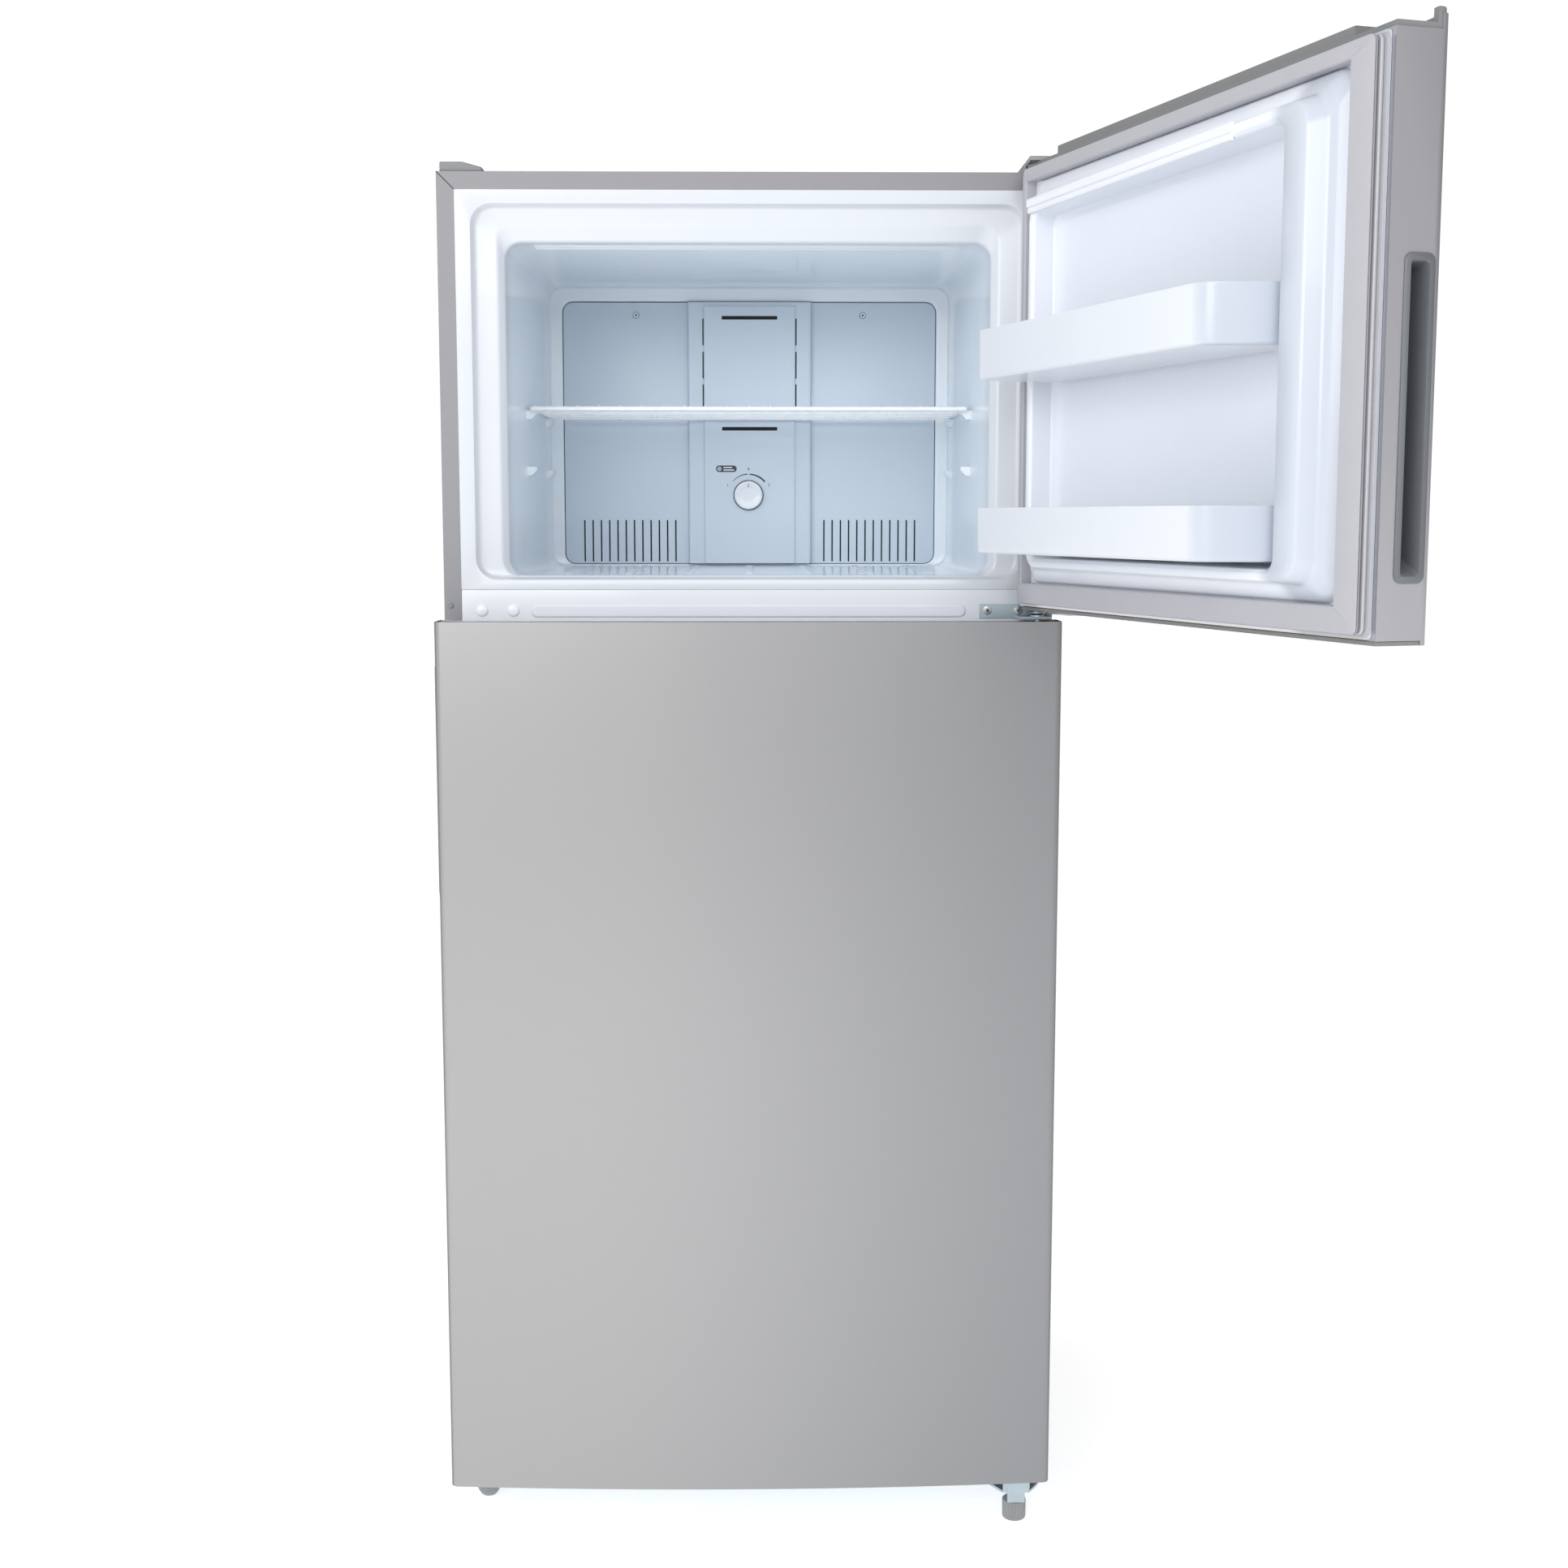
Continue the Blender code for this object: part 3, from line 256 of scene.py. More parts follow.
def merged(*meshes):
    """Several meshes as one."""
    total = bmesh.new()
    for bm in meshes:
        mesh = mesh_of(bm, "part")
        total.from_mesh(mesh)
        bpy.data.meshes.remove(mesh)
    return total


def boolean(first, second, operation):
    """The mesh that a Boolean makes of two meshes."""
    for bm in (first, second):
        bmesh.ops.recalc_face_normals(bm, faces=bm.faces)
    target, tool = (placed("half", mesh_of(bm, "half")) for bm in (first, second))
    step = target.modifiers.new("Boolean", "BOOLEAN")
    step.operation = operation
    step.solver = "EXACT"
    step.object = tool
    made = as_shown(target)
    bpy.data.objects.remove(tool)
    return made


def cut(first, second):
    return boolean(first, second, "DIFFERENCE")


def fused(first, *others):
    for other in others:
        first = boolean(first, other, "UNION")
    return first


def piece(name, bm, material, place=CABINET, body="cabinet", replaces=None, bevel=0.0, sharp=35):
    """A finished piece, of one mesh or several, on a CAD body. It may stand for a CAD node."""
    if isinstance(bm, list):
        bm = merged(*bm)
    bmesh.ops.remove_doubles(bm, verts=bm.verts, dist=WELD)
    bmesh.ops.recalc_face_normals(bm, faces=bm.faces)
    mesh = mesh_of(bm, name)
    mesh.transform(place)
    mesh.materials.append(material)
    obj = placed(name, mesh)
    finish_edges(obj, bevel, sharp)
    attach(obj, body)
    if replaces:
        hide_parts(replaces)


def finish_edges(obj, bevel, sharp):
    """Smooth shading over gentle bends, and rounded edges where a width is given."""
    obj.data.shade_smooth()
    if bevel:
        round_off = obj.modifiers.new("Edges", "BEVEL")
        round_off.width = bevel
        round_off.segments = 3
        round_off.limit_method = "ANGLE"
        round_off.angle_limit = radians(sharp)
        round_off.harden_normals = True
    else:
        obj.data.set_sharp_from_angle(angle=radians(sharp))


def keep(node, material, bevel=0.0, sharp=35):
    """A CAD node whose shape is right: it stays, with a material and softened edges."""
    obj = frame["nodes"][node]
    obj.data.materials.clear()
    obj.data.materials.append(material)
    finish_edges(obj, bevel, sharp)


# ---- materials ----
GLOSS_SPREAD = 0.12  # how far roughness strays from its middle, as a share


def linear(colour):
    """A screen colour, 0 to 255, as the linear values that shaders take."""
    return [((v / 255 + 0.055) / 1.055) ** 2.4 if v > 10 else v / 3294 for v in colour]


def feed(tree, node, inputs):
    """Sets a node's inputs, each to a value or to the output that drives it."""
    for key, value in inputs.items():
        if isinstance(value, bpy.types.NodeSocket):
            tree.links.new(value, node.inputs[key])
        else:
            node.inputs[key].default_value = value


def add_node(tree, kind, output, inputs, **settings):
    """A new shader node's named output."""
    node = tree.nodes.new(f"ShaderNode{kind}")
    for key, value in settings.items():
        setattr(node, key, value)
    feed(tree, node, inputs)
    return node.outputs[output]


def surface(name, slot, colour, roughness, mottle, grain, metallic=0.0, stretch=(1, 1, 1),
            painted_light_fade=None, edge=None, **inputs):
    """A material whose colour, gloss and relief vary over the surface.

    mottle is the scale and strength of soft colour patches. grain is the scale and height of fine
    relief. painted_light_fade is (axis, start, end, colour), painted light and shade: a slow
    change along one axis of the object. edge is (start, end, colour), painted shade where the
    surface turns away from the camera. Colours are screen colours.
    """
    made = bpy.data.materials.new(name)
    made.use_nodes = True
    tree = made.node_tree
    coords = add_node(tree, "TexCoord", "Object", {})
    mapped = add_node(tree, "Mapping", "Vector", {"Vector": coords, "Scale": stretch})

    def noise(scale, detail):
        return add_node(tree, "TexNoise", "Fac", {"Vector": mapped, "Scale": scale,
                                                  "Detail": detail})

    def ramp(value, start, end, **settings):
        return add_node(tree, "MapRange", "Result", {"Value": value, "From Min": start,
                                                     "From Max": end}, **settings)

    def blend(factor, near, far):
        return add_node(tree, "Mix", "Result", {"Factor": factor, "A": near, "B": far},
                        data_type="RGBA")

    patches = noise(mottle[0], 4)
    darker = [v * (1 - mottle[1]) for v in linear(colour)]
    lighter = [min(1, v * (1 + mottle[1])) for v in linear(colour)]
    tint = blend(patches, (*darker, 1), (*lighter, 1))
    # painted light and shade: the colour shifts towards another along one axis of the object
    if painted_light_fade:
        axis, start, end, other = painted_light_fade
        along = add_node(tree, "SeparateXYZ", axis, {"Vector": coords})
        share = ramp(along, start, end, interpolation_type="SMOOTHSTEP")
        tint = blend(share, tint, (*linear(other), 1))
    # painted shade: the colour darkens where the surface turns away from the camera
    if edge:
        start, end, other = edge
        painted_turning_shade = add_node(tree, "LayerWeight", "Facing", {"Blend": 0.5})
        tint = blend(ramp(painted_turning_shade, start, end), tint, (*linear(other), 1))
    gloss = add_node(tree, "MapRange", "Result", {
        "Value": patches, "To Min": roughness * (1 - GLOSS_SPREAD),
        "To Max": roughness * (1 + GLOSS_SPREAD)})
    relief = add_node(tree, "Bump", "Normal", {"Height": noise(grain[0], 3), "Strength": 1.0,
                                               "Distance": grain[1]})
    feed(tree, tree.nodes["Principled BSDF"], {
        "Base Color": tint, "Roughness": gloss, "Normal": relief, "Metallic": metallic,
        **{key.replace("_", " "): value for key, value in inputs.items()}})
    return made


BRUSHED = {"mottle": (2.5, 0.02), "grain": (260, 0.000012), "stretch": (1, 1, 0.02)}
GREY = {"mottle": (30, 0.04), "grain": (1500, 0.00003)}
FORMED = {"mottle": (5, 0.012), "Coat_Weight": 0.25, "Coat_Roughness": 0.08}
MOULDED = {"mottle": (12, 0.01), "grain": (900, 0.00001), "Coat_Weight": 0.15,
           "Coat_Roughness": 0.1}
CABINET_FRONT_Y = wrap_low.y

case_paint = surface(
    "case_paint_textured", "case_paint", (136, 136, 140), 0.45, (40, 0.03), (420, 0.00012),
    metallic=0.15)
# The fridge door's steel, with painted shade: darker towards its right and where it turns away
# from the camera, standing in for the darker reflections there.
steel = surface(
    "door_steel_satin", "door_steel", (165, 165, 166), 0.33, metallic=0.85, **BRUSHED,
    painted_light_fade=("X", -0.34, 0.42, (141, 142, 145)), edge=(0.3, 0.62, (112, 113, 116)))
# The same steel as the fridge door's in a lighter copy: the difference between the two is painted
# light.
steel_freezer_lighter_copy = surface(
    "door_steel_satin_upper", "door_steel", (190, 189, 194), 0.32, metallic=0.75, **BRUSHED)
grey_cap = surface("grey_cap_plastic", "grey_plastic", (128, 129, 131), 0.42, **GREY)
grey_cover = surface("grey_cover_plastic", "grey_plastic", (150, 152, 155), 0.42, **GREY)
grey_handle = surface("grey_handle_plastic", "grey_plastic", (104, 107, 112), 0.38, **GREY)
# Painted light and shade: the liner is darker at its mouth and flange and lighter and bluer deeper
# in, for how the light falls into the cavity.
liner_white = surface(
    "liner_white_gloss", "white_plastic", (211, 215, 222), 0.22, **FORMED, grain=(14, 0.0006),
    painted_light_fade=("Y", CABINET_FRONT_Y, CABINET_FRONT_Y + 0.1, (238, 246, 253)))
# Painted shade: darker towards the free end of the open door.
door_white = surface(
    "door_white_gloss", "white_plastic", (236, 240, 248), 0.24, **FORMED, grain=(14, 0.0005),
    painted_light_fade=("Y", -0.56, -0.588, (196, 202, 213)))
mullion_white = surface(
    "mullion_white_gloss", "white_plastic", (224, 228, 235), 0.24, **FORMED, grain=(14, 0.0005))
bin_white = surface("bin_white_plastic", "white_plastic", (236, 239, 245), 0.26, **MOULDED)
# Painted shade: the bins are darker towards their far end, which would otherwise show brighter.
door_bin_white = surface(
    "door_bin_white_plastic", "white_plastic", (224, 228, 235), 0.24, **MOULDED,
    painted_light_fade=("Y", -0.562, -0.58, (188, 195, 207)))
panel_blue = surface(
    "panel_pale_blue", "panel_plastic", (208, 220, 232), 0.32, (9, 0.015), (1300, 0.000025))
seal_grey = surface(
    "seal_grey_rubber", "seal_rubber", (176, 176, 182), 0.5, (25, 0.03), (700, 0.00003))
zinc = surface(
    "zinc_plate", "zinc", (176, 190, 197), 0.32, (60, 0.1), (500, 0.00003), metallic=0.9)
bright_steel = surface(
    "screw_steel", "bright_steel", (188, 190, 193), 0.26, (90, 0.06), (900, 0.00001), metallic=1)
# Dark seams between parts, and painted shade: the plates behind the cover's holes, the cross in
# the hinge screws' recesses and the ring round the freezer knob.
dark_gap_and_painted_shade = surface("dark_gap_and_painted_shade", "black_plastic", (26, 29, 33), 0.8, (50, 0.1), (600, 0.00004))
# Print on the panel, and painted shade in and round the cover's screw heads.
print_and_shade_grey = surface("print_and_painted_shade", "black_plastic", (58, 64, 72), 0.5, (300, 0.1), (900, 0.00001))
black_paint = surface(
    "black_paint", "black_paint", (34, 35, 37), 0.38, (40, 0.15), (500, 0.00005), metallic=0.1)
black_plastic = surface(
    "black_plastic", "black_plastic", (38, 39, 42), 0.45, (40, 0.1), (900, 0.00004))
aluminium = surface(
    "aluminium_fin", "aluminium", (205, 208, 212), 0.3, (80, 0.06), (700, 0.00002), metallic=1)
copper = surface(
    "copper_tube", "aluminium", (196, 128, 92), 0.28, (60, 0.15), (600, 0.00002), metallic=1)
foam_yellow = surface("foam_yellow", "foam", (226, 206, 150), 0.85, (60, 0.1), (300, 0.0006))
wire_white = surface(
    "wire_white_coat", "wire_coat", (243, 246, 250), 0.28, (60, 0.02), (500, 0.00003),
    Coat_Weight=0.3)
clear_glass = surface(
    "shelf_glass", "clear_glass", (214, 232, 228), 0.04, (3, 0.01), (3, 0.0001),
    Transmission_Weight=0.85, IOR=1.5)
clear_plastic = surface(
    "crisper_clear", "clear_plastic", (226, 234, 242), 0.14, (6, 0.02), (40, 0.0002),
    Transmission_Weight=0.6, IOR=1.49)
bulb_glass = surface(
    "bulb_frosted", "clear_glass", (246, 243, 232), 0.45, (60, 0.02), (900, 0.00002),
    Transmission_Weight=0.3)
roller_black = surface(
    "roller_nylon", "black_plastic", (44, 44, 46), 0.5, (70, 0.12), (700, 0.00005))
foot_grey = surface(
    "foot_grey_plastic", "grey_plastic", (150, 152, 154), 0.45, (50, 0.06), (900, 0.00005))


# ---- cabinet ----
# Inner surfaces of the liners, front to back: (depth, half width, bottom, top, corner radius).
FREEZER_SECTIONS = [
    (0.0015, 0.3335, 1.2, 1.649, 0.026),
    (0.013, 0.33, 1.203, 1.645, 0.022),
    (0.0145, 0.303, 1.2045, 1.6265, 0.02),
    (0.026, 0.295, 1.205, 1.606, 0.02),
    (0.497, 0.2885, 1.2052, 1.6045, 0.02),
    (0.4976, 0.2703, 1.2078, 1.585, 0.0158),
    (0.56, 0.27, 1.208, 1.5846, 0.0156),
]
FRIDGE_SECTIONS = [
    (0.0015, 0.3335, 0.0875, 1.099, 0.026),
    (0.013, 0.33, 0.091, 1.0955, 0.022),
    (0.0145, 0.309, 0.1, 1.082, 0.02),
    (0.026, 0.303, 0.106, 1.0745, 0.02),
    (0.359, 0.2995, 0.106, 1.0735, 0.02),
    (0.373, 0.2993, 0.325, 1.0735, 0.02),
    (0.56, 0.298, 0.325, 1.073, 0.02),
]
FLANGE_HALF = 0.358
SHELF_LEDGES = (0.83, 0.57, 0.306)


def liner_shell(sections, z0, z1, reach=0.0045):
    """A vacuum-formed box with a flange, from z0 to z1, and rounded steps."""
    rows = softened(sections, reach)

    def skin(t):
        return [ring(-h - t, h + t, z0 - t, z1 + t, r + t, y + t) for y, h, z0, z1, r in rows]

    y, h, low, high, r = sections[0]
    roll, lift = 0.003, 0.0009  # how far the mouth's edge rolls out, and how far forward
    lip = ring(-h - roll, h + roll, low - roll, high + roll, r + roll, y - lift)
    flange = [ring(-FLANGE_HALF, FLANGE_HALF, z0, z1, 0.003, y + t) for t in (-lift, WALL)]
    return loft(skin(0)[::-1] + [lip] + flange + skin(WALL))


def lug(sign, wall_x, y0, y1, top, reach=0.011, height=0.012):
    """A moulded shelf support on a side wall, with sloping underside."""
    rows = [(y0, 0.002), (y0 + 0.004, reach), (y1 - 0.004, reach), (y1, 0.002)]
    slope = 0.35  # share of the height and reach where the underside turns
    return loft([[(sign * (wall_x - x), y, top - z) for x, z in (
        (-0.002, 0), (out, 0), (out, height * slope), (out * slope, height), (-0.002, height))]
        for y, out in rows])


def freezer_liner():
    z0, z1 = RAIL_TOP + GAP, CASE_TOP - FRAME + 0.006
    piece("freezer_liner_shell", liner_shell(FREEZER_SECTIONS, z0, z1), liner_white,
          replaces="freezer_liner", sharp=50)
    lugs = [lug(sign, 0.291, y, y + 0.034, z)
            for sign in (-1, 1) for y in (0.212, 0.432) for z in (1.4155, 1.342)]
    piece("freezer_shelf_lugs", lugs, liner_white, bevel=0.002)
    ribs = [floor_rib(-0.228 + 0.076 * i, 0.06, 0.48, 1.2052, 0.0022, 0.006) for i in range(7)]
    piece("freezer_floor_ribs", ribs, liner_white)
    beads = [tube([(x, 0.052 + 0.011 * i, 1.6056) for x in (-0.262, 0.262)], 0.0018)
             for i in range(3)]
    piece("freezer_ceiling_beads", beads, liner_white)


def floor_rib(x, y0, y1, z, height, half):
    """A low rounded rib that runs front to back and fades out at both ends."""
    rows = ((y0, 0.05), (y0 + 0.012, 0.8), (y0 + 0.03, 1.0), (y1 - 0.02, 1.0), (y1, 0.4))
    return loft([[(x + half * c, y, z - 0.0005 + height * share * s) for c, s in arc(0, 180, 8)]
                 for y, share in rows])


def cabinet_case():
    keep("cabinet_wrap", case_paint, bevel=0.0009)
    seams = [tube([(sign * (CASE_HALF - at), 0, CASE_TOP - at) for at in (0.0006, FRAME)],
                  0.0005, 8) for sign in (-1, 1)]
    piece("frame_mitre_seams", seams, dark_gap_and_painted_shade)
    keep("rear_panel", case_paint)
    keep("cabinet_foam", foam_yellow)
    keep("base_pan", zinc, bevel=0.0006)

    plug = [(0.0034, 0.001), (0.0034, -0.0006), (0.0026, -0.0016), (0.0012, -0.0021),
            (0.0001, -0.0022)]
    piece("frame_plug", turned(plug, (-0.3648, 0, 1.168), "Y"), grey_cap)


def mullion():
    plate = slab(-0.3515, 0.3515, RAIL_BOTTOM, RAIL_TOP, 0.0015, 0, 0.012, rim=0.0006)
    piece("mullion_plate", plate, mullion_white, replaces="mullion_rail", sharp=50)
    rows = softened([(0.002, 0.0), (-0.0002, 0.0), (-0.0016, 0.0016), (-0.0016, 0.0045)], 0.0009)
    rings = [[(x, y, z) for x, z in rounded_rect(-0.2665 + s, 0.2665 - s, 1.1535 + s, 1.1695 - s,
                                                 max(0.0005, 0.0078 - s))] for y, s in rows]
    piece("mullion_rib", loft(rings), mullion_white, sharp=60)
    dome = [(0.0074, 0.002)] + [(0.0074 * c, -0.0006 - 0.0024 * s) for c, s in arc(0, 80, 8)]
    plugs = [turned(dome, (x, 0, 1.1623), "Y") for x in (-0.327, -0.2885)]
    piece("mullion_plugs", plugs, bin_white, sharp=60)


# ---- evaporator cover and control ----
KNOB = axis_of("freezer_knob_turn")
COVER_Y = 0.498  # front of the evaporator cover's sheet
DUCT_Y, FACE_Y = COVER_Y - 0.011, COVER_Y - 0.014
SLOT_ZS = (1.5612, 1.4032)  # the air slots in the duct
DASH_X, DASH_ZS = 0.0672, (1.4289, 1.4752, 1.5224)  # the broken line down its sides
SCREW_X, SCREW_Z = 0.164, 1.566


def cover_step(half, z0, z1, y0, y1, side, top):
    """A raised step of the cover, with its sides and its top drawn in towards the front."""
    rows = softened([(y0, side, top), (y1 + side * 0.4, side * 0.3, top * 0.3),
                     (y1, side * 0.9, side * 0.9), (y1, side + 0.004, side + 0.004)], 0.0015)
    rows = [(y0, 0, 0)] + rows[1:]
    return loft([[(x, y, z) for x, z in rounded_rect(-half + s, half - s, z0 + 0.0001, z1 - t,
                                                     0.0015, 3)] for y, s, t in rows])


def evaporator_cover():
    sheet = slab(-0.2695, 0.2695, 1.2085, 1.584, 0.015, COVER_Y, COVER_Y + 0.003, rim=0.0008)
    duct = cover_step(0.09, 1.2086, 1.5852, COVER_Y + 0.001, DUCT_Y, 0.0035, 0.0035)
    face = cover_step(0.0668, 1.2088, 1.5795, DUCT_Y + 0.001, FACE_Y, 0.0022, 0.006)
    holes = [slab(-0.04, 0.04, z - 0.0026, z + 0.0026, 0.0006, 0.44, 0.495, 2) for z in SLOT_ZS]
    # backs are dark plates behind the slots, the broken lines and the vents: painted shadow seen
    # through the holes.
    backs = [((-0.0405, FACE_Y + 0.0012, z - 0.003), (0.0405, COVER_Y - 0.002, z + 0.003))
             for z in SLOT_ZS]
    for sign in (-1, 1):
        x = sign * DASH_X
        for z in DASH_ZS:
            holes.append(boxes(((x - 0.0009, 0.44, z), (x + 0.0009, 0.495, z + 0.038))))
            backs.append(((x - 0.0012, DUCT_Y + 0.0008, z - 0.0005),
                          (x + 0.0012, COVER_Y - 0.002, z + 0.0385)))
        for i in range(12):
            x = sign * (0.1085 + 0.0121 * i)
            holes.append(slab(x - 0.0011, x + 0.0011, 1.2112, 1.272, 0.00105, 0.45, 0.52, 3))
        near, far = sorted((sign * 0.106, sign * 0.244))
        backs.append(((near, COVER_Y + 0.0009, 1.21), (far, COVER_Y + 0.0022, 1.274)))
    holes.append(turned([(0.004, 0.45), (0.004, 0.495)], (KNOB.x, 0, KNOB.z), "Y", 24))
    piece("evaporator_cover_panel", cut(fused(sheet, duct, face), merged(*holes)), panel_blue,
          replaces="evaporator_cover", sharp=32)
    piece("duct_shadow_plates", boxes(*backs), dark_gap_and_painted_shade)

    profile = [(r, COVER_Y + y) for r, y in (
        (0.004, 0.001), (0.004, -0.001), (0.0034, -0.0016), (0.0024, -0.0016), (0.0016, -0.0004),
        (0.0003, -0.0002))]
    heads = [turned(profile, (x, 0, SCREW_Z), "Y", 32) for x in (-SCREW_X, SCREW_X)]
    piece("cover_screw_heads", heads, bin_white)
    # Dark spots in the hollow of the screw heads and dark rings where they meet the cover: painted
    # shade.
    pits = [turned([(0.0013, COVER_Y - 0.0008), (0.0013, COVER_Y)], (x, 0, SCREW_Z), "Y", 16)
            for x in (-SCREW_X, SCREW_X)]
    pits += [ring_strip((x, SCREW_Z), 0.0038, 0.0047, COVER_Y - 0.0003, COVER_Y + 0.001)
             for x in (-SCREW_X, SCREW_X)]
    piece("cover_screw_painted_shade", pits, print_and_shade_grey)
    gate_mark = ring_strip((-0.212, 1.538), 0.0085, 0.0128, COVER_Y - 0.0002, COVER_Y + 0.001)
    piece("cover_gate_mark", gate_mark, panel_blue)


def ring_strip(centre, inner, outer, y0, y1, start=0, sweep=360, steps=64, grow=(1, 1)):
    """A flat ring, or an arc of one, standing in the XZ plane, clockwise from its top.

    grow is the share of its width that it has at its start and at its end.
    """
    closed = sweep == 360
    rows = []
    for i, (c, s) in enumerate(arc(start, start + sweep, steps)[:steps if closed else None]):
        far = inner + (outer - inner) * (grow[0] + (grow[1] - grow[0]) * i / steps)
        rows.append([(centre[0] + s * r, y, centre[1] + c * r)
                     for r, y in ((inner, y0), (far, y0), (far, y1), (inner, y1))])
    return loft(rows, closed_loop=closed)


def figure_mesh(figure, x, y, z):
    """A raised figure that faces the user, centred on x and z."""
    curve = bpy.data.curves.new("figure", "FONT")
    curve.body = figure
    curve.size = 0.0066
    curve.extrude = 0.0002
    curve.align_x, curve.align_y = "CENTER", "CENTER"
    bm = as_shown(placed("figure", curve))
    bm.transform(Matrix.Translation((x, y, z)) @ Matrix.Rotation(pi / 2, 4, "X"))
    return bm


def knob(name, node, at, shaft, boss, back, radius, depth, sides, pointer):
    """A knob that faces the user, with a soft rim, a slightly hollow face and a pointer.

    at is its centre on the plane that it turns on, shaft and boss its shaft's radius and length,
    back the radius of its rear edge, depth how far it stands forward. pointer has two corners, as
    (how far forward, how far up).
    """
    x, y, z = at
    rim, face = y - 0.001, y - depth
    front = softened([(radius - 0.0004, rim), (radius, rim - 0.0015), (radius - 0.0012, face),
                      (radius - 0.003, face - 0.0004), (radius * 0.5, face + 0.0008),
                      (0.0003, face + 0.0012)], 0.0012, 5)
    body = turned([(shaft, y + boss), (shaft, y - 0.0005), (back, y - 0.0005), *front], (x, 0, z),
                  "Y", sides)
    piece(f"{name}_body", body, bin_white, CABINET, node, replaces=node, sharp=50)
    (y0, z0), (y1, z1) = pointer
    mark = boxes(((x - 0.0004, y - y0, z + z0), (x + 0.0004, y - y1, z + z1)))
    piece(f"{name}_pointer", mark, print_and_shade_grey, CABINET, node)


def freezer_control():
    y, centre = 0.484, (KNOB.x, KNOB.z)
    over, under = y - 0.0002, y + 0.0006
    knob("freezer_knob", "freezer_control_knob", (KNOB.x, y, KNOB.z), 0.0038, 0.008, 0.02, 0.0209,
         0.0135, 72, ((0.0142, 0.011), (0.012, 0.0165)))
    piece("knob_shadow_ring", ring_strip(centre, 0.0195, 0.0219, y - 0.0003, y + 0.001), dark_gap_and_painted_shade)
    arcs = [ring_strip(centre, 0.0298, 0.0316, over, under, -50, 48, 24, grow=(0.35, 0.85)),
            ring_strip(centre, 0.0294, 0.032, over, under, 3, 48, 24, grow=(0.7, 1))]
    piece("knob_scale_arc", arcs, print_and_shade_grey)
    figures = [figure_mesh(figure, KNOB.x + across, y, KNOB.z + up) for figure, across, up in (
        ("1", -0.03, 0.014), ("4", 0, 0.0375), ("7", 0.03, 0.014))]
    piece("knob_scale_figures", figures, print_and_shade_grey)
    badge = slab(-0.049, -0.019, 1.341, 1.3505, 0.0046, over, under)
    piece("knob_scale_badge", badge, print_and_shade_grey)
    spot = (-0.044, 1.34575)
    signs = [ring_strip(spot, inner, outer, y - 0.0004, y)
             for inner, outer in ((0.0018, 0.0028), (0.0004, 0.001))]
    signs += [slab(-0.0385, right, z - 0.0008, z + 0.0008, 0.0007, y - 0.0004, y, 3)
              for z, right in ((1.3475, -0.0255), (1.3439, -0.0225))]
    piece("knob_scale_signs", signs, bin_white)


def freezer_shelf():
    low, high = span("freezer_wire_shelf")
    half, front, back = high.x, low.y, high.y
    rail, cross, wire = 0.003, 0.0021, 0.0014
    z_cross = high.z - 0.0034
    z_wire = z_cross + cross + wire * 0.6

    def bar(y, z, in_by, radius, sides=12):
        return tube([(-half + in_by, y, z), (half - in_by, y, z)], radius, sides)

    crossings, wires = 5, 20
    parts = [bar(front + rail, z_cross, 0.002, rail, 16),
             bar(front + 0.012, z_cross - 0.001, 0.002, cross)]
    parts += [bar(front + rail + (back - front - 2 * rail) * i / crossings, z_cross, 0.004, cross)
              for i in range(1, crossings + 1)]
    for i in range(wires + 1):
        x = -half + 0.006 + (2 * half - 0.012) * i / wires
        parts.append(tube([(x, front + 0.0005, z_wire - 0.0014),
                           (x, front + 0.003, z_wire + 0.0006), (x, front + 0.012, z_wire),
                           (x, back - 0.002, z_wire)], wire, 10))
    parts += [tube([(x, front + rail, z_cross), (x, back - 0.002, z_cross)], cross)
              for x in (0.003 - half, half - 0.003)]
    piece("freezer_shelf_wires", parts, wire_white, CABINET, "freezer_wire_shelf",
          replaces="freezer_wire_shelf", sharp=60)


# ---- hinges and feet ----
def cross_bars(x, z, y0, y1):
    """The shape of a cross recess."""
    long, half = 0.0023, 0.0005
    return boxes(((x - long, y0, z - half), (x + long, y1, z + half)),
                 ((x - half, y0, z - long), (x + half, y1, z + long)))


def pan_head(x, z, y, radius=0.0047):
    """A pan-head screw with a cross recess, facing the user."""
    dome = [(radius * c, y - 0.0008 - 0.002 * s) for c, s in arc(0, 81, 9)[:-1]]
    head = turned([(radius * 0.96, y)] + dome + [(0.0002, y - 0.0028)], (x, 0, z), "Y", 32)
    return cut(head, cross_bars(x, z, y - 0.004, y - 0.0014))


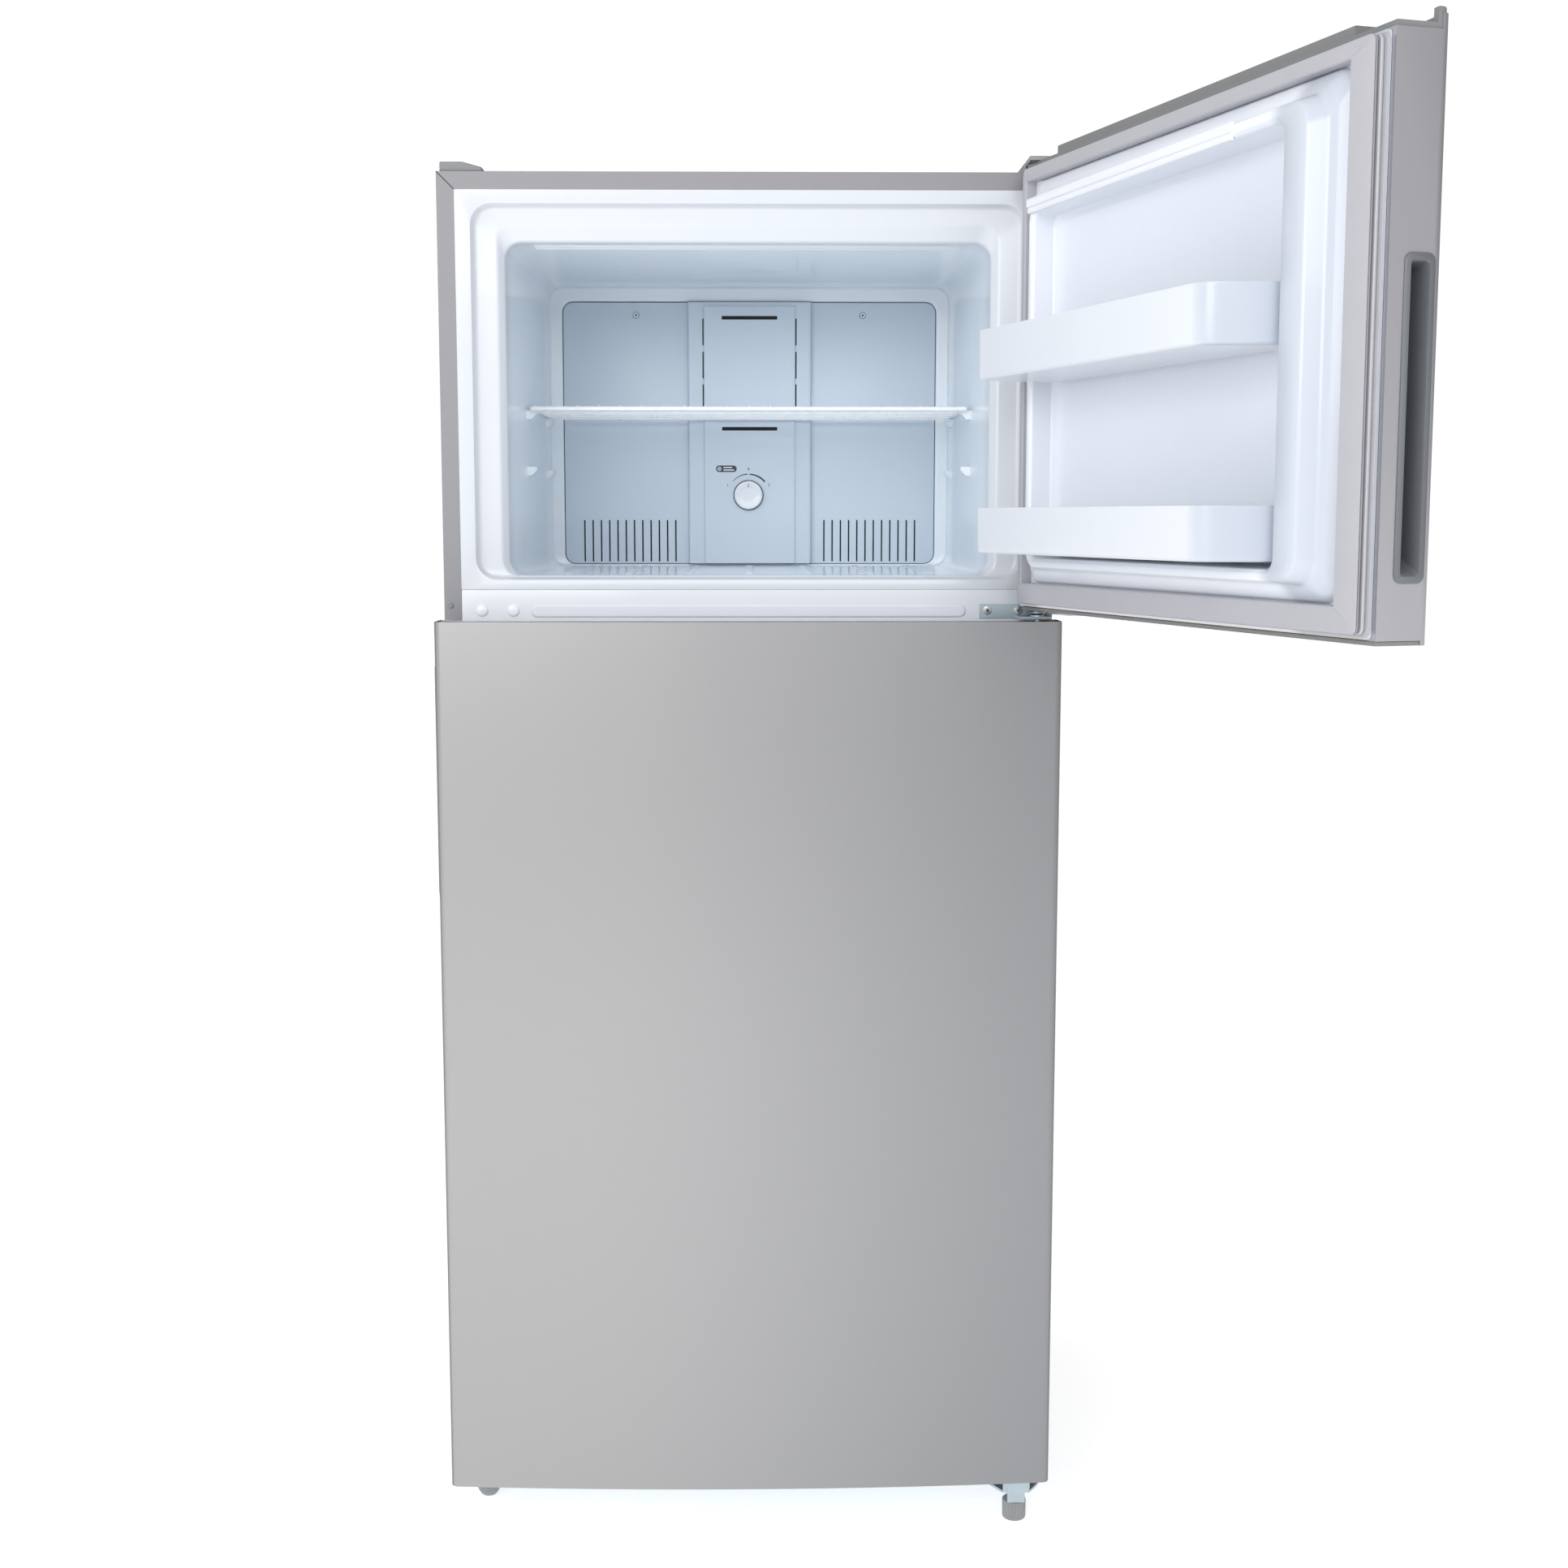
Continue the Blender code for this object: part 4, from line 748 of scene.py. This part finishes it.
def hinges():
    keep("top_hinge_bracket", zinc, bevel=0.0005)
    keep("mid_hinge_bracket", zinc, bevel=0.0004)
    keep("bottom_hinge_bracket", zinc, bevel=0.0005)
    keep("top_hinge_cover", grey_cover, bevel=0.0012)
    z = 1.162
    for name, x in (("inner", 0.293), ("outer", 0.331)):
        washer = turned([(0.0054, -0.0023), (0.0054, -0.003), (0.003, -0.0034)], (x, 0, z), "Y")
        piece(f"mid_hinge_screw_head_{name}", merged(pan_head(x, z, -0.003), washer),
              bright_steel, replaces=f"mid_hinge_screw_{name}")
        # A dark cross at the bottom of each screw's recess: painted shade.
        piece(f"mid_hinge_screw_painted_shade_{name}", cross_bars(x, z, -0.0052, -0.0043), dark_gap_and_painted_shade)

    nut = [(HINGE.x + 0.0078 * c, HINGE.y + 0.0078 * s) for c, s in arc(10, 370, 6)[:-1]]
    piece("mid_hinge_nut", prism(nut, "Z", 1.1568, 1.16, rim=0.0004), black_paint)
    washer = turned([(0.0088, 1.1601), (0.0092, 1.1605), (0.0092, 1.1616), (0.0088, 1.162)],
                    (HINGE.x, HINGE.y, 0), "Z")
    piece("mid_hinge_washer", washer, bright_steel)

    low, high = span("top_left_cap")
    outline = [(high.x, low.z), (high.x, high.z - 0.0065), (low.x + 0.027, high.z),
               (low.x, high.z), (low.x, low.z)]
    piece("top_left_cap_block", prism(outline, "Y", low.y, high.y), grey_cap,
          replaces="top_left_cap", bevel=0.0016)


def levelling_foot(name, x, y, rows, stem_top):
    """A knurled wheel on a threaded stem. The rows hold (height, radius, depth of the knurl)."""
    ribs, sides, groove, pitch = 32, 256, 0.0013, 0.0012
    rings = []
    for z, radius, depth in rows:
        points = []
        for i, (c, s) in enumerate(circle(sides)):
            r = radius - groove * depth * (0.5 - 0.5 * cos(2 * pi * i * ribs / sides)) ** 0.6
            points.append((x + r * c, y + r * s, z))
        rings.append(points)
    piece(f"{name}_wheel", loft(rings), foot_grey, CABINET, name, replaces=name, sharp=60)
    height = rows[-1][0]
    thread = []
    for i in range(int((stem_top - height) / pitch)):
        thread += [(0.0039, height + pitch * i), (0.0033, height + pitch * (i + 0.5))]
    stem = turned([(0.0039, height - 0.001)] + thread + [(0.003, stem_top)], (x, y, 0), "Z", 24)
    piece(f"{name}_stem", stem, bright_steel, CABINET, name)


def feet_and_rollers():
    flat = [(0.0, 0.0132, 0), (0.0008, 0.0142, 0.3), (0.0022, 0.0148, 1), (0.0232, 0.0152, 1),
            (0.0244, 0.0149, 0.4), (0.025, 0.0136, 0)]
    domed = [(0.0, 0.0088, 0), (0.001, 0.01, 0.1), (0.0036, 0.012, 0.5), (0.0074, 0.014, 1),
             (0.0125, 0.016, 1), (0.0205, 0.0162, 1), (0.0216, 0.0158, 0.4), (0.022, 0.0148, 0)]
    for name, rows in (("foot_right", flat), ("foot_left", domed)):
        low, high = span(name)
        levelling_foot(name, (low.x + high.x) / 2, (low.y + high.y) / 2, rows, high.z)
    for side in ("left", "right"):
        keep(f"roller_bracket_{side}", zinc, bevel=0.0004)
        keep(f"roller_{side}", roller_black, bevel=0.0006)


# ---- inside the fridge ----
def fridge_inside():
    piece("fridge_liner_shell", liner_shell(FRIDGE_SECTIONS, 0.062, RAIL_BOTTOM - GAP),
          liner_white, replaces="fridge_liner", sharp=50)
    ledges = []
    for sign in (-1, 1):
        for top in SHELF_LEDGES[:2]:
            ledges.append(lug(sign, 0.3, 0.115, 0.5, top, reach=0.007))
        ledges.append(lug(sign, 0.3003, 0.115, 0.34, SHELF_LEDGES[2], reach=0.0073, height=0.006))
    piece("fridge_shelf_ledges", ledges, liner_white, bevel=0.0015)

    for node in ("glass_shelf_upper", "glass_shelf_lower", "crisper_cover"):
        low, high = span(node)
        plate = prism(rounded_rect(low.x + 0.004, high.x - 0.004, low.y + 0.006, high.y - 0.004,
                                   0.004), "Z", low.z + 0.0045, low.z + 0.0085, rim=0.0006)
        piece(f"{node}_plate", plate, clear_glass, replaces=node)
        outer = rounded_rect(low.x, high.x, low.y, high.y, 0.006)
        inner = rounded_rect(low.x + 0.013, high.x - 0.013, low.y + 0.02, high.y - 0.013, 0.004)
        rows = [(outer, low.z + 0.0042), (outer, low.z + 0.01), (inner, low.z + 0.0095),
                (inner, low.z + 0.0042)]
        rim = loft([[(x, y, z) for x, y in shape] for shape, z in rows], closed_loop=True)
        piece(f"{node}_frame", rim, bin_white, bevel=0.0012)
        nose = tube([(low.x + 0.004, low.y + 0.0055, low.z + 0.006),
                     (high.x - 0.004, low.y + 0.0055, low.z + 0.006)], 0.0052, 24)
        piece(f"{node}_nose", nose, bin_white)

    for side in ("left", "right"):
        node = f"crisper_{side}"
        keep(node, clear_plastic, bevel=0.0008)
        low, high = span(node)
        middle = (low.x + high.x) / 2
        grip = tube([(middle - 0.07 + 0.01 * i, low.y - 0.0005, high.z - 0.026
                      - 0.006 * sin(pi * i / 14)) for i in range(15)], 0.0035, 16)
        piece(f"{node}_grip", grip, bin_white, CABINET, node)

    keep("control_housing", bin_white, bevel=0.0022)
    keep("light_bulb", bulb_glass)
    knob("fridge_dial", "fridge_control_dial", axis_of("fridge_dial_turn"), 0.0028, 0.01, 0.0142,
         0.0149, 0.01, 64, ((0.0106, 0.006), (0.0085, 0.012)))
    keep("light_switch_plunger", bin_white, bevel=0.0005)


# ---- machinery ----
def machinery():
    keep("compressor", black_paint, sharp=40)
    keep("drain_pan", black_plastic, bevel=0.0006)
    keep("condenser_coil", black_paint, sharp=50)
    keep("evaporator_coil", aluminium)
    keep("defrost_heater", bright_steel)
    keep("evaporator_fan", black_plastic, bevel=0.0003)
    keep("evaporator_fan_motor", black_plastic)

    low, high = span("condenser_coil")
    wires, half_width = 46, 0.27
    piece("condenser_wires", [
        tube([(x, y, low.z + 0.01), (x, y, high.z - 0.01)], 0.0008, 6)
        for x in (half_width * (2 * i / (wires - 1) - 1) for i in range(wires))
        for y in (low.y + 0.0155, low.y + 0.0235)], black_paint, sharp=70)

    low, high = span("compressor")
    x, y = (low.x + high.x) / 2, (low.y + high.y) / 2
    suction = ([(x - 0.086, y - 0.01, 0.11)]
               + [(x - 0.096 - 0.024 * s, y - 0.01, 0.134 - 0.024 * c) for c, s in arc(0, 90, 6)]
               + [(x - 0.12, y - 0.01, 0.225), (x - 0.14, y + 0.03, 0.245),
                  (x - 0.18, y + 0.05, 0.256)])
    piece("suction_tube", tube(suction, 0.004, 16), copper)
    discharge = [(x + 0.07, y + 0.045, 0.12), (x + 0.11, y + 0.07, 0.12),
                 (x + 0.15, y + 0.08, 0.135), (x + 0.17, y + 0.085, 0.2),
                 (x + 0.172, y + 0.085, 0.255)]
    piece("discharge_tube", tube(softened(discharge, 0.018, 6), 0.003, 16), copper)
    relay = slab(x - 0.03, x + 0.03, 0.095, 0.15, 0.004, y + 0.07, y + 0.0985, rim=0.002)
    piece("start_relay_cover", relay, black_plastic)


# ---- doors ----
HANDLE_LENGTH, HANDLE_INSET = 0.283, 0.05
FRONT_OVERLAP = 0.0043  # how far the front runs past the folded sides, over the caps
CAP_OVERLAP = 0.0137  # the same at the top of the freezer door
SEAL_SQUEEZE = 0.0045  # how far the seal's free height falls short of the gap it closes
SEAL_DROP = 0.001  # how much lower the seal stands at the hinge side
POST_BACK = -0.03  # back of the posts at the ends of the freezer door's top cap
BIN_NEAR, BIN_FAR, BIN_FRONT = -0.06, -0.6005, 0.11


def front_path(in_by, edge_steps=8, bow_steps=48):
    """The door's front in plan, from the hinge side round both edges to the free side."""
    radius = DOOR_EDGE_R - in_by
    side, free, front = DOOR_HINGE_X - in_by, DOOR_FREE_X + in_by, DOOR_SIDE_Y + in_by
    middle = (side + free) / 2
    flat = (side - free) / 2 - radius
    turn = arc(0, 90, edge_steps)
    return ([(side - radius + radius * c, front + radius - radius * s) for c, s in turn[:-1]]
            + [(middle + flat * t, front - DOOR_BOW * (1 - t * t))
               for t in (1 - 2 * i / bow_steps for i in range(bow_steps + 1))]
            + [(free + radius - radius * s, front + radius - radius * c) for c, s in turn[1:]])


def door_outline(in_by):
    back = DOOR_IN_Y - in_by
    return [(DOOR_HINGE_X - in_by, back)] + front_path(in_by) + [(DOOR_FREE_X + in_by, back)]


def door_handle(door, z0, z1, stand, place):
    """A pocket handle in the door's side. Its bezel stands out by the given amount."""
    face, deepest = DOOR_FREE_X, 0.027
    bezel = rounded_rect(-0.034, -0.0036, z0, z1, 0.0075)
    outer = loft([[(face - 0.0003, y, z) for y, z in bezel],
                  [(face - stand * 0.65, y, z) for y, z in bezel],
                  [(face - stand, y, z) for y, z in inset(bezel, 0.0008)]])
    box = boxes(((face - 0.0002, -0.032, z0 + 0.0026), (face + 0.03, -0.006, z1 - 0.0026)))
    hollow = []
    # (depth from the face, how much smaller the pocket is there)
    for x, s in ((-0.004, 0), (-0.0017, 0), (-0.0004, 0.0012), (0.004, 0.0022),
                 (deepest, 0.003)):
        lean = max(0, x / deepest)
        hollow.append([(face + x, y, z) for y, z in rounded_rect(
            -0.0285 + s * 0.5, -0.0092 - s - 0.0045 * lean, z0 + 0.0062 + s + 0.012 * lean,
            z1 - 0.0062 - s, 0.0035, 5)])
    piece(f"{door}_handle_pocket", cut(fused(outer, box), loft(hollow)), grey_handle, place, door,
          replaces=f"{door}_handle", bevel=0.0007, sharp=40)


def door_panel(door, z_range, handle_z, top_overlap, place, finish):
    """The folded steel skin. Its bowed front runs past the sides, over the end caps."""
    lip = 0.012
    z0, z1 = z_range
    low, high = handle_z
    folds = [(DOOR_HINGE_X - lip, DOOR_IN_Y), (DOOR_FREE_X + lip, DOOR_IN_Y),
             (DOOR_FREE_X + lip, DOOR_IN_Y - SHEET), (DOOR_HINGE_X - lip, DOOR_IN_Y - SHEET)]
    outline = ([folds[0]] + door_outline(0) + folds[1:3] + door_outline(SHEET)[::-1] + [folds[3]])
    skin = fused(prism(outline, "Z", z0, z1),
                 prism(front_path(0) + front_path(SHEET)[::-1], "Z", z0 - FRONT_OVERLAP,
                       z1 + top_overlap))
    skin = cut(skin, boxes(((DOOR_FREE_X - 0.01, -0.0325, low + 0.0022),
                            (DOOR_FREE_X + 0.005, -0.0055, high - 0.0022))))
    piece(f"{door}_steel_panel", skin, finish, place, door, replaces=f"{door}_skin", sharp=32)


def door_seal(door, z_range, place):
    """The seal: a wide sealing face on a bellows, over a flat strip that is tucked in the door."""
    z0, z1 = z_range
    base = DOOR_IN_Y + WALL + 2 * GAP
    tall = -HINGE.y - GAP - base - SEAL_SQUEEZE
    at_hinge = 1 - SEAL_DROP / tall
    # (distance in from the outer edge, height)
    bellows = [(0.0006, 0.0026), (0.003, 0.0034), (0.003, 0.0044), (0.0006, 0.0052),
               (0.0002, 0.0066), (0.0008, 0.008), (0.009, 0.0085), (0.009, 0.0104),
               (0.001, 0.0108), (0.0006, 0.0114), (0.0034, 0.0119), (0.0034, 0.0127),
               (0.0008, 0.0131), (0.0008, tall - 0.0004), (0.0022, tall)]
    rings = [ring(DOOR_FREE_X + 0.004, DOOR_HINGE_X - 0.004, z0 + 0.004, z1 - 0.004, 0.006,
                  base + v) for v in (0.0, 0.0024)]
    rings += [ring(DOOR_FREE_X + 0.005 + u, -0.003 - u, z0 + 0.005 + u, z1 - 0.005 - u,
                   0.0075 - u, base + v, base + v * at_hinge) for u, v in bellows]
    rings += [ring(DOOR_FREE_X + 0.041 - u, -0.0128 + u, z0 + 0.0295 - u, z1 - 0.0205 + u,
                   0.0008, base + v, base + v * at_hinge)
              for u, v in ((0.0012, tall), (0.0, tall - 0.0012), (0.0, 0.0))]
    piece(f"{door}_seal", loft(rings, closed_loop=True), seal_grey, place, door,
          replaces=f"{door}_gasket", sharp=38)


def door_liner(door, z_range, levels, place):
    """The inner door: a flange, a stepped dyke that is lower on the hinge side, and a recess.

    levels holds the (bottom, top) of the dyke's foot, of its step, of its ridge and of the recess.
    """
    edge, step, ridge, recess = levels
    base = DOOR_IN_Y + WALL + GAP
    z0, z1 = z_range
    # (free side x, hinge side x, level, widened by, corner radius, depth at the free side, depth
    # at the hinge side, which way the sheet's thickness goes)
    rows = [
        (-0.672, -0.0145, edge, 0.001, 0.02, base, base, -1),
        (-0.669, -0.016, edge, -0.001, 0.02, 0.019, 0.018, -1),
        (-0.661, -0.019, step, 0.003, 0.023, 0.0262, 0.0212, -1),
        (-0.654, -0.0215, step, -0.002, 0.026, 0.029, 0.0235, -1),
        (-0.646, -0.0245, ridge, 0.002, 0.026, 0.0465, 0.0292, -1),
        (-0.638, -0.027, ridge, -0.002, 0.024, 0.048, 0.03, -1),
        (-0.612, -0.0355, recess, 0.003, 0.016, 0.048, 0.03, 1),
        (-0.606, -0.0375, recess, -0.001, 0.014, 0.044, 0.0275, 1),
        (-0.602, -0.039, recess, -0.004, 0.014, 0.004, 0.004, 1),
        (-0.596, -0.044, recess, -0.009, 0.012, 0.0002, 0.0002, 1),
    ]
    rows = softened([(x0, x1, low - wider, high + wider, *rest)
                     for x0, x1, (low, high), wider, *rest in rows], 0.0035)

    def shell(back):
        made = [ring(-0.719, 0.019, z0 + 0.0012, z1 - 0.0012, 0.004, base - back)]
        for x0, x1, low, high, radius, y_free, y_hinge, grow in rows:
            g = back * grow
            made.append(ring(x0 - g, x1 + g, low - g, high + g, radius + g, y_free - back,
                             y_hinge - back))
        return made

    piece(f"{door}_inner_liner", loft(shell(0)[::-1] + shell(WALL)), door_white, place, door,
          replaces=f"{door}_liner", sharp=50)


def door_caps(door, z_range, stands_up, place):
    """The plastic end caps. The freezer door's top cap stands up, with a ledge and two posts."""
    z0, z1 = z_range
    behind = SHEET + GAP
    bottom = prism(door_outline(behind), "Z", z0 - GAP - 0.004, z0 - GAP)
    if stands_up:
        base = z1 + GAP
        edge, inner = front_path(behind), front_path(0.0075)
        plate = prism(door_outline(behind), "Z", base, base + 0.0052)
        rim = prism(edge + inner[::-1], "Z", base + 0.002, base + 0.013)
        ledge = boxes(((-0.64, -0.027, base + 0.003), (-0.0305, -0.003, base + 0.0192)))
        top = fused(plate, rim, ledge)
        for corner in (edge[:9], edge[-9:]):
            back = [(corner[-1][0], POST_BACK), (corner[0][0], POST_BACK)]
            top = fused(top, prism(corner + back, "Z", base + 0.002, base + 0.019, rim=0.0015))
    else:
        top = prism(door_outline(behind), "Z", z1 - 0.0055, z1 - 0.0015)
    for end, cap in (("top", top), ("bottom", bottom)):
        hole = turned([(0.0048, z0 - 0.02), (0.0048, z1 + 0.03)], (0, 0, 0), "Z", 24)
        piece(f"{door}_cap_{end}", cut(cap, hole), grey_cap, place, door,
              replaces=f"{door}_{end}_cap", bevel=0.0006)


def bin_outline(corner_near=0.012, corner_far=0.022, flare=0.012):
    """A door bin in plan, with rounded front corners and a far end that flares to the door."""
    back = 0.0035
    start = BIN_FAR + flare
    return ([(BIN_NEAR, back), (BIN_NEAR, BIN_FRONT - corner_near)]
            + [(BIN_NEAR - corner_near + corner_near * c, BIN_FRONT - corner_near
                + corner_near * s) for c, s in arc(0, 90, 8)[1:]]
            + [(start + corner_far + corner_far * c, BIN_FRONT - corner_far + corner_far * s)
               for c, s in arc(90, 170, 12)]
            + [(BIN_FAR, 0.052), (BIN_FAR, back)])


def door_bin(node, place, finish):
    """A tray with a rounded bottom edge, a slight draft and a rolled rim."""
    low, high = span(node, place)
    z0, z1 = low.z, high.z
    outer = softened([(z0 + 0.0002, 0.0065), (z0 + 0.0002, 0.003), (z0 + 0.003, 0.001),
                      (z1 - 0.003, 0.0002), (z1, 0.0002), (z1, 0.0012)], 0.0016)
    inner = softened([(z1, 0.002), (z1 - 0.0015, 0.0028), (z0 + 0.006, 0.0032),
                      (z0 + 0.0026, 0.006), (z0 + 0.0026, 0.01)], 0.0016)
    rings = [[(x, y, z) for x, y in inset(bin_outline(), s)] for z, s in outer + inner]
    piece(f"{node}_tray", loft(rings), finish, place, node, replaces=node, sharp=55)


def freezer_trim():
    """The moulded bar across the top of the freezer door's recess."""
    bars = []
    for z0, z1, share in ((1.6265, 1.634, 0.75), (1.6335, 1.6435, 1.0)):
        rings = []
        for x, depth in ((-0.03, 0.005), (-0.515, 0.002)):
            y = 0.0308 - 0.018 * (x + 0.0365) / 0.5715  # the dyke's ridge, as it falls away
            out = y + depth * share
            rings.append([(x, y - 0.002, z0), (x, out - 0.0008, z0 + 0.0003),
                          (x, out, z0 + 0.0018), (x, out, z1 - 0.0018),
                          (x, out - 0.0008, z1 - 0.0003), (x, y - 0.002, z1)])
        bars.append(loft(rings))
    piece("freezer_door_retainer", bars, bin_white, FREEZER_DOOR, "freezer_door",
          replaces="freezer_door_trim", sharp=50)


def door(name, place, handle_at_top, stand, levels, finish):
    """One door without its bins. stand is how far its handle's bezel stands out."""
    z_range = low, high = [corner.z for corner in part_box(f"{name}_skin")]
    handle_low = high - HANDLE_INSET - HANDLE_LENGTH if handle_at_top else low + HANDLE_INSET
    handle_z = handle_low, handle_low + HANDLE_LENGTH
    stands_up = not handle_at_top
    door_panel(name, z_range, handle_z, CAP_OVERLAP if stands_up else 0.0, place, finish)
    door_handle(name, *handle_z, stand, place)
    door_caps(name, z_range, stands_up, place)
    door_seal(name, z_range, place)
    door_liner(name, z_range, levels, place)
    keep(f"{name}_foam", foam_yellow)


def doors():
    door("freezer_door", FREEZER_DOOR, False, 0.0018,
         ((1.199, 1.665), (1.212, 1.649), (1.219, 1.64), (1.227, 1.629)),
         steel_freezer_lighter_copy)
    freezer_trim()
    keep("freezer_door_cam", bin_white, bevel=0.0004)
    for node in ("freezer_bin_upper", "freezer_bin_lower"):
        door_bin(node, FREEZER_DOOR, door_bin_white)
    door("fridge_door", FRIDGE_DOOR, True, 0.0006,
         ((0.1055, 1.13), (0.118, 1.1), (0.126, 1.086), (0.136, 1.074)),
         steel)
    for node in ("fridge_bin_lower", "fridge_bin_middle", "fridge_bin_upper"):
        door_bin(node, FRIDGE_DOOR, clear_plastic)


# ---- studio ----
AMBIENT_DIM, AMBIENT_BRIGHT = 0.22, 0.8  # how bright the room is, apart from its lamps
BRIGHT_SIDE = (-0.97, -0.25, 0.0)  # the room is brightest on the left, in front
BACKDROP = 1.05  # what the camera sees behind the object


def floor_and_light():
    bm = bmesh.new()
    bmesh.ops.create_grid(bm, x_segments=1, y_segments=1, size=40.0)
    floor = placed("studio_floor", mesh_of(bm, "studio_floor"))
    floor.data.materials.append(surface(
        "floor_white", None, (247, 247, 247), 0.75, mottle=(0.6, 0.01), grain=(200, 0.00005),
        Emission_Color=(1, 1, 1, 1), Emission_Strength=0.56))

    world = bpy.data.worlds.new("studio")
    bpy.context.scene.world = world
    world.use_nodes = True
    tree = world.node_tree
    way = add_node(tree, "TexCoord", "Generated", {})
    towards = add_node(tree, "VectorMath", "Value", {0: way, 1: BRIGHT_SIDE},
                       operation="DOT_PRODUCT")
    ambient = add_node(tree, "MapRange", "Result", {
        "Value": towards, "From Min": -1.0, "To Min": AMBIENT_DIM, "To Max": AMBIENT_BRIGHT})
    direct = add_node(tree, "LightPath", "Is Camera Ray", {})
    strength = add_node(tree, "Mix", "Result", {"Factor": direct, "A": ambient, "B": BACKDROP})
    feed(tree, tree.nodes["Background"], {"Color": (1, 1, 1, 1), "Strength": strength})

    softbox("key", (2.6, 1.6), 58, (-2.1, -3.8, 2.3), (0, 0, 1.4))
    softbox("front", (2.4, 1.2), 33, (0.3, -4.1, 2.55), (0, 0, 1.4))
    softbox("fill", (2.0, 2.0), 8, (2.2, -4.0, 2.2), (0, 0, 1.2))
    softbox("overhead", (5.0, 5.0), 30, (0, -0.8, 4.6), (0, -0.8, 0))


def softbox(name, size, watts, location, target):
    light = bpy.data.lights.new(name, "AREA")
    light.shape = "RECTANGLE"
    light.size, light.size_y = size
    light.energy = watts
    lamp = placed(name, light)
    lamp.location = location
    aim = Vector(target) - Vector(location)
    lamp.rotation_euler = aim.to_track_quat("-Z", "Y").to_euler()


def photographer():
    """The camera, which looks slightly down from breast height, and the plain colour response."""
    camera = bpy.data.cameras.new("camera")
    camera.sensor_width = 36
    camera.lens = 46.365
    camera.shift_x, camera.shift_y = -0.00132, -0.01305
    stand = placed("camera", camera)
    stand.location = CABINET @ Vector((0.0083, -2.4837, 1.2756))
    stand.rotation_euler = (radians(83.05), 0, -0.015)
    bpy.context.scene.camera = stand
    bpy.context.scene.view_settings.view_transform = "Standard"


cabinet_case()
freezer_liner()
mullion()
evaporator_cover()
freezer_control()
freezer_shelf()
hinges()
feet_and_rollers()
fridge_inside()
machinery()
doors()
floor_and_light()
photographer()
